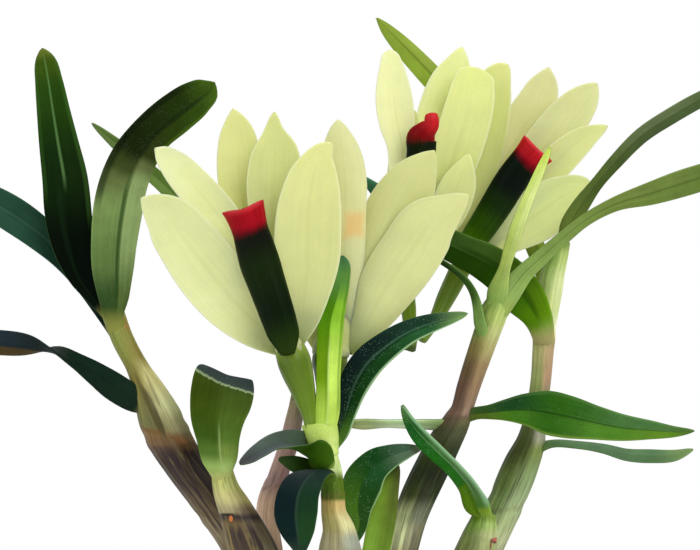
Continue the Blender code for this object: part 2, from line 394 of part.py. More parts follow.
def blade(name, rows, thick, tissue, fold=0.0, arc=0.0, across=5, stations=10, reach=(0, 1), first=None):
    """A leaf, tepal or lip: a thin sheet along a midrib, folded at the midrib or bent to an arc."""
    rows = [tuple(row) + (0,) * (5 - len(row)) for row in rows]
    rows = smooth(rows, stations, reach)
    centre = rows[:, :3]
    half = np.maximum(rows[:, 3], 0.25)
    tangent, sides = frames(centre, first, kept=first is not None)
    points = []
    for s in range(stations):
        roll = math.radians(rows[s, 4])
        turned = sides[s] * math.cos(roll) + np.cross(tangent[s], sides[s]) * math.sin(roll)
        face = np.cross(turned, tangent[s])
        upper = []
        lower = []
        for u in np.linspace(-1, 1, across):
            if arc:
                angle = math.radians(arc)
                radius = half[s] / math.sin(abs(angle))
                place = turned * radius * math.sin(u * abs(angle))
                place = place + face * math.copysign(radius * (1 - math.cos(u * angle)), arc)
                skin = face * math.cos(u * angle) - turned * math.sin(u * angle)
            else:
                place = turned * half[s] * u + face * half[s] * fold * abs(u)
                skin = unit(face - turned * fold * np.sign(u))
            upper.append(centre[s] + place + skin * thick / 2)
            lower.append(centre[s] + place - skin * thick / 2)
        points += upper + lower
    return body(name, points, strip_faces(stations, across), tissue)


def tube(name, rows, tissue, sides=CANE_SIDES, stations=None, floor=None, grow=0.0, level=None):
    """A stem or root: rings of the given radius along a smooth line, closed at both ends.

    Level names the station, 0 or -1, whose end ring is flat. Grow widens and lengthens the tube.
    """
    rows = smooth(rows, stations or 2 * len(rows) - 1)
    centre = rows[:, :3]
    tangent, across = frames(centre, (1, 0.1, 0))
    if level is not None:
        tangent[level] = (0, 0, np.sign(tangent[level][2]))
        across[level] = unit(across[level] * (1, 1, 0))
    centre[0] -= tangent[0] * grow
    centre[-1] += tangent[-1] * grow
    points = []
    for s, row in enumerate(rows):
        other = np.cross(tangent[s], across[s])
        for k in range(sides):
            angle = 2 * math.pi * k / sides
            out = across[s] * math.cos(angle) + other * math.sin(angle)
            point = row[:3] + out * (row[3] + grow)
            if floor is not None:
                point[2] = max(point[2], floor)
            points.append(point)
    faces = []
    for s in range(len(rows) - 1):
        for k in range(sides):
            a = s * sides + k
            b = s * sides + (k + 1) % sides
            faces += [(a, b, b + sides), (a, b + sides, a + sides)]
    last = (len(rows) - 1) * sides
    for k in range(1, sides - 1):
        faces += [(0, k + 1, k), (last, last + k, last + k + 1)]
    return body(name, points, faces, tissue)


def applied(target, modifier):
    """Applies one modifier to the target's mesh."""
    bpy.context.view_layer.update()
    graph = bpy.context.evaluated_depsgraph_get()
    result = bpy.data.meshes.new_from_object(target.evaluated_get(graph))
    target.modifiers.remove(modifier)
    target.data = result


def fuse(name, pieces):
    """One body from overlapping pieces, by a single union."""
    first = pieces[0]
    group = bpy.data.collections.new(name + "_pieces")
    for piece in pieces[1:]:
        group.objects.link(piece)
    union = first.modifiers.new("union", "BOOLEAN")
    union.operation = "UNION"
    union.operand_type = "COLLECTION"
    union.collection = group
    union.solver = "EXACT"
    applied(first, union)
    for piece in pieces[1:]:
        bpy.data.objects.remove(piece)
    bpy.data.collections.remove(group)
    first.name = name
    first.data.name = name
    return first


def cut_clear(target, cutter):
    """Takes the cutter's shape out of the target, and removes the cutter."""
    cut = target.modifiers.new("clear", "BOOLEAN")
    cut.operation = "DIFFERENCE"
    cut.object = cutter
    cut.solver = "EXACT"
    applied(target, cut)
    bpy.data.objects.remove(cutter)


def clear_of_cane(target, cane):
    """Ends a leaf or flower stalk just off the cane that carries it."""
    cut_clear(target, tube("cutter", seen(CANES[cane]), "cane", grow=GAP, level=0))


def rhizome():
    """The creeping stem that joins the canes, its flat-footed crown and the roots."""
    line = [(-9.5, -3.5, RHIZOME_HEIGHT - 0.4, RHIZOME_RADIUS), (-4, -0.5, RHIZOME_HEIGHT, RHIZOME_RADIUS),
            (2.5, 0.8, RHIZOME_HEIGHT, RHIZOME_RADIUS), (10.8, 2.2, RHIZOME_HEIGHT - 0.4, RHIZOME_RADIUS)]
    pieces = [tube("rhizome", line, "root", stations=9)]
    foot = [(0.3, 0, 8, FOOT_RADIUS + 1.2), (0.1, 0, 4, FOOT_RADIUS + 0.6), (0, 0, 0, FOOT_RADIUS)]
    pieces.append(tube("foot", foot, "root", stations=4, level=-1))
    for rows in CANES.values():
        x, y, top, radius = seen(rows)[0]
        near_x = min(max(x, -8.5), 9.8)
        near_y = y * 0.45
        stub = [(near_x, near_y, RHIZOME_HEIGHT - 1, radius * 0.9), (x, y, top - 2.2, radius),
                (x, y, top - GAP, radius)]
        pieces.append(tube("stub", stub, "root", stations=5, level=-1))
    for k in range(ROOT_COUNT):
        angle = 2 * math.pi * (k + 0.35 * math.sin(3.7 * k)) / ROOT_COUNT
        reach = ROOT_REACH * (1 + 0.14 * math.sin(2.3 * k))
        along = np.array((math.cos(angle), math.sin(angle), 0))
        bend = np.array((-along[1], along[0], 0)) * 2.6 * math.sin(1.9 * k)
        start = np.array((7.5 * along[0], 1.4 * along[1], RHIZOME_HEIGHT - 1.2))
        knee = start * 0.4 + along * reach * 0.34 + bend * 0.5
        knee[2] = 5.6 - 0.8 * math.sin(1.3 * k)
        fall = along * reach * 0.66 + bend
        fall[2] = 1.7
        rest = along * reach * 0.86 + bend * 0.4
        rest[2] = ROOT_RADIUS * 0.75
        end = along * reach
        end[2] = ROOT_RADIUS * 0.7
        rows = [(*start, 1.25 * ROOT_RADIUS), (*knee, 1.15 * ROOT_RADIUS), (*fall, ROOT_RADIUS),
                (*rest, ROOT_RADIUS), (*end, 0.75 * ROOT_RADIUS)]
        pieces.append(tube("root", rows, "root", sides=ROOT_SIDES, stations=7, floor=0.0))
    return fuse("rhizome_and_roots", pieces)


def canes():
    for name, rows in CANES.items():
        tube(name, seen(rows), "cane", level=0)


def leaves():
    for name, (cane, rows, fold, arc, tissue) in LEAVES.items():
        slim = max(row[3] for row in rows) < 1.4
        stations = 11 if len(rows) > 8 else 9
        made = blade(name, seen(rows), LEAF_THICK, tissue, fold, arc, 3 if slim else 5, stations)
        clear_of_cane(made, cane)
    cane, rows = DROOPING
    made = blade("leaf_drooping", seen(rows), LEAF_THICK, "leaf_dark", 0.2, 0, first=(-1, 0.3, 0))
    clear_of_cane(made, cane)


def bloom(name, plan):
    """Tepals with their cup and column, the lip body, its coloured tip and the ovary."""
    roll = plan["face"]
    pieces = [tube("cup", seen(plan["cup"]), "tepal", sides=8, stations=6)]
    for rows in plan["tepals"]:
        rows = [(*row, roll) for row in seen(rows)]
        pieces.append(blade("tepal", rows, TEPAL_THICK, "tepal", arc=28, across=4, stations=9))
    fuse(name + "_tepals", pieces)
    # The lip is a channel whose rounded back faces away from the column.
    rows = [(*row, roll + 180) for row in seen(plan["lip"])]
    blade(name + "_lip", rows, LIP_THICK, "lip", arc=62, across=5, stations=8, reach=(0, LIP_SHARE))
    blade(name + "_tip", rows, LIP_THICK, "tip", arc=62, across=5, stations=4, reach=(LIP_SHARE + 0.015, 1))
    ovary = tube(name + "_ovary", seen(plan["ovary"]), "ovary", sides=8, stations=7)
    clear_of_cane(ovary, plan["cane"])


def main():
    for old in list(bpy.data.objects):
        bpy.data.objects.remove(old)
    rhizome()
    canes()
    leaves()
    for name, plan in BLOOMS.items():
        bloom(name, plan)


main()
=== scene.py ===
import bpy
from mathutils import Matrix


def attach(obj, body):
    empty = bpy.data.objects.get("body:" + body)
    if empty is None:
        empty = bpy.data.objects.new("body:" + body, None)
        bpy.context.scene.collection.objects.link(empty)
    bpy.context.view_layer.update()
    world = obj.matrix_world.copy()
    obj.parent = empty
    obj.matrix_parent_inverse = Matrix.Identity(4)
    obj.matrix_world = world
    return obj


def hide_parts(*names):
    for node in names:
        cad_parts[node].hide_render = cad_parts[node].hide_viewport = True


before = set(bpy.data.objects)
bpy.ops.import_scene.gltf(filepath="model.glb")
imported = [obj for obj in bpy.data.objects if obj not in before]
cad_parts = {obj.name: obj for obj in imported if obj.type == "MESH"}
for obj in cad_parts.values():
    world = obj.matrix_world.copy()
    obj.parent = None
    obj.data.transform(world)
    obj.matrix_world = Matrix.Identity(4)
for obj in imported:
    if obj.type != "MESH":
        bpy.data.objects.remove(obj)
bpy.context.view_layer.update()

# %% [markdown]
# The tables below are in millimetres. X runs right, Y away from the viewer and Z up. Places were
# judged as they look from the front, so a point that is further back has to lie further out
# to look the same. One short function does that for every table.
# %% Units and the viewer
import math
import random

import bmesh
import bpy
import numpy as np
from mathutils import Vector

MM = 0.001
VIEW_DISTANCE = 1000.0
VIEW_HEIGHT = 71.3


def seen(rows):
    """Places as they look from the front, moved to where they are at their own distance."""
    made = []
    for row in rows:
        scale = 1 + row[1] / VIEW_DISTANCE
        height = VIEW_HEIGHT + (row[2] - VIEW_HEIGHT) * scale
        made.append((row[0] * scale, row[1], height, *row[3:]))
    return made


print("A point 10 mm back moves out by", round(seen([(60, 10, 71.3)])[0][0] - 60, 2), "mm at the edge")

# %% [markdown]
# A leaf grows along its midrib, so a leaf is a table of a few midrib points with a half width at
# each. A smooth curve through the points gives as many stations as the mesh needs. A Bezier curve
# object could do this too, but it can't carry a width and a roll to the same mesh so simply.
# %% Smooth lines
def unit(vectors):
    """Vectors made 1 long."""
    return vectors / np.linalg.norm(vectors, axis=-1, keepdims=True)


def smooth(rows, stations, crowd=1.25):
    """Rows along a smooth curve through the given rows, closer together near the tip."""
    rows = np.array(rows, float)
    knots = np.concatenate([[0], np.cumsum(np.linalg.norm(np.diff(rows[:, :3], axis=0), axis=1))])
    slope = np.gradient(rows, knots, axis=0)
    share = 1 - (1 - np.linspace(0, 1, stations)) ** crowd
    made = []
    for along in share * knots[-1]:
        i = min(np.searchsorted(knots, along, side="right") - 1, len(knots) - 2)
        step = knots[i + 1] - knots[i]
        t = (along - knots[i]) / step
        made.append(
            (2 * t**3 - 3 * t**2 + 1) * rows[i] + (t**3 - 2 * t**2 + t) * step * slope[i]
            + (3 * t**2 - 2 * t**3) * rows[i + 1] + (t**3 - t**2) * step * slope[i + 1])
    return np.array(made), share


def frames(centre, first=None):
    """Tangents, and side directions: carried along the line, or kept near the one given."""
    tangent = unit(np.gradient(centre, axis=0))
    side = np.cross((0, 1, 0), tangent[0])
    sides = []
    for t in tangent:
        side = side if first is None else np.array(first, float)
        side = unit(side - t * np.dot(side, t))
        sides.append(side)
    return tangent, np.array(sides)


print("Smooth line ready:", smooth([(0, 0, 0, 1), (0, 0, 10, 1)], 5)[0][:, 2].round(1))

# %% [markdown]
# Every piece is a mesh made from points in millimetres. Beside its place, each point keeps where
# it lies on its own leaf or stem, in an attribute named place. A finish reads that attribute, so a
# midrib, a margin or a stripe stays on the leaf however the leaf bends.
# %% From points to a piece
def piece(name, points, faces, place, node, slot, tone=None):
    """A smooth shaded piece on the plant's body, which stands for one CAD node or more."""
    mesh = bpy.data.meshes.new(name)
    mesh.from_pydata([Vector(p) * MM for p in points], [], faces)
    mesh.attributes.new("place", "FLOAT_VECTOR", "POINT")
    mesh.attributes["place"].data.foreach_set("vector", np.array(place, np.float32).ravel())
    if tone is not None:
        mesh.attributes.new("tone", "FLOAT", "POINT")
        mesh.attributes["tone"].data.foreach_set("value", np.array(tone, np.float32))
    shape = bmesh.new()
    shape.from_mesh(mesh)
    bmesh.ops.recalc_face_normals(shape, faces=shape.faces)
    shape.to_mesh(mesh)
    shape.free()
    mesh.shade_smooth()
    made = bpy.data.objects.new(name, mesh)
    bpy.context.scene.collection.objects.link(made)
    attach(made, "root")
    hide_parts(*([node] if isinstance(node, str) else node))
    return made


def rings_to_faces(stations, ring):
    """Quads between closed rings of points."""
    faces = []
    for s in range(stations - 1):
        for k in range(ring):
            a = s * ring + k
            b = s * ring + (k + 1) % ring
            faces.append((a, b, b + ring, a + ring))
    return faces


def end_faces(first, across, turn):
    """A flat end between the upper and lower points of one ring of a sheet."""
    faces = []
    for k in range(across - 1):
        a = first + k
        b = first + k + 1
        c = first + 2 * across - 2 - k
        d = first + 2 * across - 1 - k
        faces.append((a, b, c, d)[::turn])
    return faces


print("Helpers ready")

# %% [markdown]
# A living leaf is thickest along its midrib and thins to a soft margin, its two halves fold up
# from the midrib like an open book, and its margins wave a little. Solidify on a flat grid
# would keep one thickness, so each ring of points here is a thin lens that is bent and rolled.
# %% The leaf and petal sheet
CREASE = 0.16           # how softly the two halves meet at the midrib
MARGIN_SHARE = 0.28     # thickness left at the margin
TIP_SHARE = 0.035       # part of the length over which the tip is rounded
LEAST_HALF = 0.2        # a tip's half width, before it is rounded


def sheet_points(rows, thick, fold=0.0, arc=0.0, first=None, across=19, stations=54, wave=0.0,
                 waves=3.0, stem=0, tip=TIP_SHARE):
    """Points, faces and places of one leaf or petal: a lens bent at its midrib or along an arc.
    A row is x, y, z, half width, roll, and 0 to 1 for how round it is, as a stem is. The place
    along starts with 0 after the first rows, as many as stem says."""
    rows = [tuple(row) + (0,) * (6 - len(row)) for row in rows]
    steps = np.linalg.norm(np.diff(np.array(rows)[:, :3], axis=0), axis=1)
    before = steps[:stem].sum() / steps.sum()
    rows, share = smooth(rows, stations)
    share = (share - before) / (1 - before)
    centre = rows[:, :3]
    tangent, sides = frames(centre, first)
    near_tip = np.clip((1 - share) / tip, 0, 1)
    half = np.maximum(rows[:, 3], LEAST_HALF) * np.sqrt(1 - (1 - near_tip) ** 2) + 0.03
    u = np.sin(np.linspace(-1, 1, across) * math.pi / 2)
    skin_thick = thick * (MARGIN_SHARE + (1 - MARGIN_SHARE) * np.sqrt(np.maximum(1 - u**2, 0))) / 2
    points = []
    place = []
    for s in range(stations):
        roll = math.radians(rows[s, 4])
        stemlike = min(max(rows[s, 5], 0.0), 1.0)
        turned = sides[s] * math.cos(roll) + np.cross(tangent[s], sides[s]) * math.sin(roll)
        face = np.cross(turned, tangent[s])
        if arc:
            bend = math.radians(arc)
            radius = half[s] / math.sin(abs(bend))
            out = radius * np.sin(u * abs(bend))
            rise = np.copysign(radius * (1 - np.cos(u * bend)), arc)
        else:
            out = half[s] * u
            rise = half[s] * fold * (np.sqrt(u**2 + CREASE**2) - CREASE)
        rise = rise + wave * half[s] * np.sin(2 * math.pi * waves * share[s] + 1.7 * np.sign(u)) * u**2
        rise = rise * (1 - stemlike)
        slope = np.gradient(rise, out)
        skin = unit(face[None, :] - turned[None, :] * slope[:, None])
        middle = centre[s] + out[:, None] * turned + rise[:, None] * face
        deep = skin_thick * (1 - stemlike) + stemlike * half[s] * np.sqrt(np.maximum(1 - u**2, 0))
        upper = middle + skin * deep[:, None]
        lower = middle - skin * deep[:, None]
        points += list(upper) + list(lower[::-1])
        place += [(x, share[s], 0.0) for x in u] + [(x, share[s], 1.0) for x in u[::-1]]
    faces = rings_to_faces(stations, 2 * across)
    faces += end_faces(0, across, -1) + end_faces((stations - 1) * 2 * across, across, 1)
    return points, faces, place


def joined(parts):
    """Several point, face and place lists as one."""
    points, faces, place, tone = [], [], [], []
    for index, (more, more_faces, more_place) in enumerate(parts):
        faces += [tuple(k + len(points) for k in face) for face in more_faces]
        points += list(more)
        place += list(more_place)
        tone += [index] * len(more)
    return points, faces, place, tone


print("A sheet has", len(sheet_points([(0, 0, 0, 1), (0, 0, 9, 1)], 0.6)[0]), "points")

# %% [markdown]
# Stems, roots and flower stalks are tubes. A cane isn't round and smooth: it has long low ribs,
# and it narrows at the nodes where old leaves sat. The radius is changed around and along the
# tube, which a curve with a round bevel can't do.
# %% The stem tube
RING_WIDTH = 1.6        # stations that a ring's swelling spans
GROOVE_PLACE = 2.2      # where the groove beside it lies, in ring widths
GROOVE_SHARE = 1.1      # how deep that groove is, next to the swelling


def tube_points(rows, sides=32, stations=70, ribs=0, rib_depth=0.0, nodes=(), node_depth=0.0,
                cap=0.5, floor=None):
    """Points, faces and places of a stem. Nodes are shares of the length where it is ringed, cap
    is how wide its ends are, and floor is a height that it doesn't go below."""
    rows, share = smooth(rows, stations, crowd=1.0)
    centre = rows[:, :3]
    tangent, front = frames(centre, (0.0, -1.0, 0.02))
    angle = 2 * math.pi * np.arange(sides) / sides
    points = []
    place = []
    for s in range(stations):
        right = np.cross(tangent[s], front[s])
        radius = rows[s, 3] * (1 + rib_depth * np.sin(ribs * angle + 0.6 * math.sin(9 * share[s])))
        for node in nodes:
            away = (share[s] - node) * stations / RING_WIDTH
            groove = GROOVE_SHARE * math.exp(-((away - GROOVE_PLACE) ** 2))
            radius = radius * (1 + node_depth * (math.exp(-away**2) - groove))
        to_end = min(share[s], 1 - share[s]) * stations
        radius = radius * (1 if to_end >= 1 else cap + (1 - cap) * to_end)
        ring = (centre[s] + radius[:, None] * (np.cos(angle)[:, None] * front[s]
                                               + np.sin(angle)[:, None] * right))
        if floor is not None:
            ring[:, 2] = np.maximum(ring[:, 2], floor)
        points += list(ring)
        place += [(math.sin(a), share[s], math.cos(a)) for a in angle]
    faces = rings_to_faces(stations, sides)
    faces += [tuple(range(sides))[::-1], tuple(range((stations - 1) * sides, stations * sides))]
    return points, faces, place


print("A tube has", len(tube_points([(0, 0, 0, 1), (0, 0, 9, 1)])[0]), "points")

# %% [markdown]
# Shader maths is easier to read as sums than as chains of nodes. A small class wraps a socket of
# a material and overloads the usual operators, so 1 - mask adds a Math node by itself. Colours
# and vectors go through Mix and Vector Math, because a Math node would turn a colour grey.
# %% Sums on sockets
class Flow:
    """One socket of a finish, so that maths on it reads as a plain sum."""

    def __init__(self, tree, socket):
        self.tree = tree
        self.socket = socket

    def run(self, operation, *values):
        """One Math node on sockets or plain numbers."""
        node = self.tree.nodes.new("ShaderNodeMath")
        node.operation = operation
        for slot, value in zip(node.inputs, values):
            if isinstance(value, Flow):
                self.tree.links.new(value.socket, slot)
            else:
                slot.default_value = value
        return Flow(self.tree, node.outputs[0])

    def __add__(self, other):
        return self.run("ADD", self, other)

    def __radd__(self, other):
        return self.run("ADD", other, self)

    def __sub__(self, other):
        return self.run("SUBTRACT", self, other)

    def __rsub__(self, other):
        return self.run("SUBTRACT", other, self)

    def __mul__(self, other):
        return self.run("MULTIPLY", self, other)

    def __rmul__(self, other):
        return self.run("MULTIPLY", other, self)

    def __truediv__(self, other):
        return self.run("DIVIDE", self, other)

    def __abs__(self):
        return self.run("ABSOLUTE", self)

    def rise(self, low, high):
        """0 below low, 1 above high, and a soft step between. Low above high falls instead."""
        if low > high:
            return 1 - self.rise(high, low)
        node = self.tree.nodes.new("ShaderNodeMapRange")
        node.interpolation_type = "SMOOTHSTEP"
        self.tree.links.new(self.socket, node.inputs["Value"])
        node.inputs["From Min"].default_value = low
        node.inputs["From Max"].default_value = high
        return Flow(self.tree, node.outputs["Result"])

    def band(self, middle, width):
        """1 at middle, falling softly to 0 at width on both sides."""
        return abs(self - middle).rise(width, width * 0.25)


def colour(red, green, blue):
    """A screen colour from 0 to 255 as the linear colour that Blender works with."""
    parts = [c / 255 for c in (red, green, blue)]
    return tuple(c / 12.92 if c <= 0.04045 else ((c + 0.055) / 1.055) ** 2.4 for c in parts) + (1.0,)


print("Mid grey is", round(colour(128, 128, 128)[0], 3), "in linear light")

# %% [markdown]
# A finish is one material: a Principled shader with its constant sockets set directly, and nodes
# only behind colour, roughness and normal. Every other node comes from one method, node.
# %% One finish
class Finish:
    """A material whose nodes are added by short calls."""

    def __init__(self, name, rough=0.4, shine=0.3, **fixed):
        self.material = bpy.data.materials.new(name)
        self.material.use_nodes = True
        self.tree = self.material.node_tree
        self.shader = self.tree.nodes["Principled BSDF"]
        self.shader.inputs["Roughness"].default_value = rough
        self.shader.inputs["Specular IOR Level"].default_value = shine
        for socket, value in fixed.items():
            self.shader.inputs[socket.replace("_", " ")].default_value = value

    def node(self, kind, settings=None, sockets=None, out=0):
        """A node of one kind, its settings first, then the values or links of its sockets."""
        made = self.tree.nodes.new("ShaderNode" + kind)
        for key, value in (settings or {}).items():
            if key == "stops":
                self.stops(made, value)
            else:
                setattr(made, key, value)
        for key, value in (sockets or {}).items():
            if isinstance(value, Flow):
                self.tree.links.new(value.socket, made.inputs[key])
            else:
                made.inputs[key].default_value = value
        return Flow(self.tree, made.outputs[out])

    @staticmethod
    def stops(ramp, stops):
        """Puts stops on a colour ramp: a place from 0 to 1 and a screen colour each."""
        while len(ramp.color_ramp.elements) < len(stops):
            ramp.color_ramp.elements.new(1.0)
        while len(ramp.color_ramp.elements) > len(stops):
            ramp.color_ramp.elements.remove(ramp.color_ramp.elements[-1])
        for element, (where, *shade) in zip(ramp.color_ramp.elements, stops):
            element.position = where
            element.color = colour(*shade)

    def numbers(self, vector):
        """The three numbers of a vector, each on its own."""
        split = self.tree.nodes.new("ShaderNodeSeparateXYZ")
        self.tree.links.new(vector.socket, split.inputs[0])
        return [Flow(self.tree, split.outputs[k]) for k in range(3)]

    def parts(self):
        """Where the surface lies on its own leaf or stem, from the attribute place."""
        return self.numbers(self.node("Attribute", {"attribute_name": "place"}, out=1))

    def tone(self):
        """Which of its piece's joined parts the surface belongs to, from the attribute tone."""
        return self.node("Attribute", {"attribute_name": "tone"}, out=2)

    def point(self):
        """X, Y and Z of the surface in millimetres."""
        return [number * 1000.0 for number in self.numbers(self.node("TexCoord", out=3))]

    def vector(self, x, y, z):
        """Three numbers as one vector."""
        return self.node("CombineXYZ", sockets={0: x, 1: y, 2: z})

    def ramp(self, where, stops):
        """A colour that eases from stop to stop."""
        made = self.node("ValToRGB", {"stops": stops}, {0: where})
        made.socket.node.color_ramp.interpolation = "EASE"
        return made

    def mix(self, share, first, second, how="MIX"):
        """A mix of two colours. A screen colour is given as three numbers."""
        pair = [colour(*c) if isinstance(c, tuple) and len(c) == 3 else c for c in (first, second)]
        return self.node("Mix", {"data_type": "RGBA", "blend_type": how},
                         {0: share, 6: pair[0], 7: pair[1]}, out=2)

    def noise(self, where, detail=3.0, rough=0.5, warp=0.0):
        """Soft noise of about 0.5, whose scale is set by the vector it is read at."""
        return self.node("TexNoise", sockets={"Vector": where, "Scale": 1.0, "Detail": detail,
                                              "Roughness": rough, "Distortion": warp})

    def cells(self, where):
        """The distance to the nearest of many scattered points."""
        return self.node("TexVoronoi", sockets={"Vector": where, "Scale": 1.0})

    def shaded(self, shade, value):
        """A colour made lighter or darker by a number."""
        shade = colour(*shade) if isinstance(shade, tuple) else shade
        value = (value, value, value, 1.0) if isinstance(value, float) else value
        return self.mix(1.0, shade, value, "MULTIPLY")

    def done(self, shade, rough=None, height=None, depth=0.05, strength=0.5):
        """Links the colour, and the roughness and relief in millimetres where they are given."""
        self.tree.links.new(shade.socket, self.shader.inputs["Base Color"])
        if rough is not None:
            self.tree.links.new(rough.socket, self.shader.inputs["Roughness"])
        if height is not None:
            bump = self.node("Bump", sockets={"Height": height, "Distance": depth * MM,
                                              "Strength": strength})
            self.tree.links.new(bump.socket, self.shader.inputs["Normal"])
        return self.material


print("Finish ready")

# %% [markdown]
# A leaf shows three scales of detail: its colour changes from base to tip and from one half to
# the other, partly its own and partly painted light and shade, fine parallel veins run its whole
# length, and skin cells speckle the gloss. Its underside is duller and paler. Ramps along the leaf
# give the first, and stretched noise the others. Painting a texture would fix the detail to one
# leaf and one size.
# %% The leaf finish
LEAF_ROUGH = 0.5
LEAF_SHINE = 0.035
DULL_BACK = [(0, 80, 105, 52), (1, 88, 112, 60)]
GLINT_HUE = (150, 180, 150)


def leaf_finish(name, stem, left, right=None, under=DULL_BACK, under_right=None, lines=(),
                specks=0.0, split=0.0, soft=0.12, fade=0.07, lean=0.0):
    """Left and right are stops from base to tip on the two halves, and under the same below; besides
    the leaf's own colour they hold painted reflections, highlights and shade. A right half that
    isn't given looks like the left one. Specks is how strongly painted glints show.
    A line has a colour, a place across, a width, a start and an end along, and a strength; some
    lines are painted highlights near a midrib.
    Stem has the cane's two colours below the leaf and where the leaf leaves it, and fade says how
    far up the leaf they reach. The halves meet at split, over a width of soft. Lean slants the
    stops, so that one margin runs ahead of the other."""
    f = Finish(name, LEAF_ROUGH, LEAF_SHINE)
    u, v, side = f.parts()
    x, y, z = f.point()
    veins = f.noise(f.vector(u * 13.0, v * 1.3, side * 3.0), detail=2.0)
    half = u.rise(split - soft, split + soft)
    at = v - u * lean + (veins - 0.5) * 0.03
    front = f.mix(half, f.ramp(at, left), f.ramp(at, right or left))
    back = f.mix(half, f.ramp(at, under), f.ramp(at, under_right or under))
    shade = f.mix(side.rise(0.4, 0.6), front, back)
    fine = f.noise(f.vector(u * 34.0, v * 5.0, side * 3.0), detail=2.0)
    mottle = f.noise(f.vector(x * 0.45, y * 0.45, z * 0.45), detail=4.0)
    skin = f.noise(f.vector(x * 3.2, y * 3.2, z * 3.2), detail=3.0)
    light = 1.0 + (veins - 0.5) * 0.52 + (fine - 0.5) * 0.24 + (mottle - 0.5) * 0.45
    shade = f.shaded(shade, light + (skin - 0.5) * 0.16)
    # Stripes along the leaf; some, such as leaf_left_tall's pale midrib line, are painted highlights.
    for hue, across, width, start, end, strength in lines:
        along = v.rise(start - 0.08, start + 0.02) * v.rise(end + 0.08, end - 0.06)
        where = (u + (fine - 0.5) * 0.05).band(across, width) * along * strength
        shade = f.mix(where, shade, hue)
    margin = abs(u).rise(0.93, 1.0) * 0.3
    shade = f.mix(margin, shade, f.shaded(shade, 1.8))
    # Pale dots in patches: painted glints of light on the glossy skin.
    if specks:
        dots = f.cells(f.vector(x * 3.6, y * 3.6, z * 3.6)).rise(0.3, 0.14)
        patch = f.noise(f.vector(x * 0.6, y * 0.6, z * 0.6)).rise(0.38, 0.62)
        shade = f.mix(dots * patch * specks, shade, GLINT_HUE)
    shade = f.mix(v.rise(fade, 0.0), shade, f.shaded(stem[1], light))
    shade = f.mix(v.rise(-0.03, -0.09), shade, f.shaded(stem[0], light))
    gloss = LEAF_ROUGH + (skin - 0.5) * 0.16 + (veins - 0.5) * 0.2 + side * 0.08
    relief = veins * 0.5 + fine * 0.35 + skin * 0.15 - abs(u).rise(0.09, 0.0) * 0.5
    return f.done(shade, rough=gloss, height=relief, depth=0.09, strength=0.55)


print("Leaf finish ready")
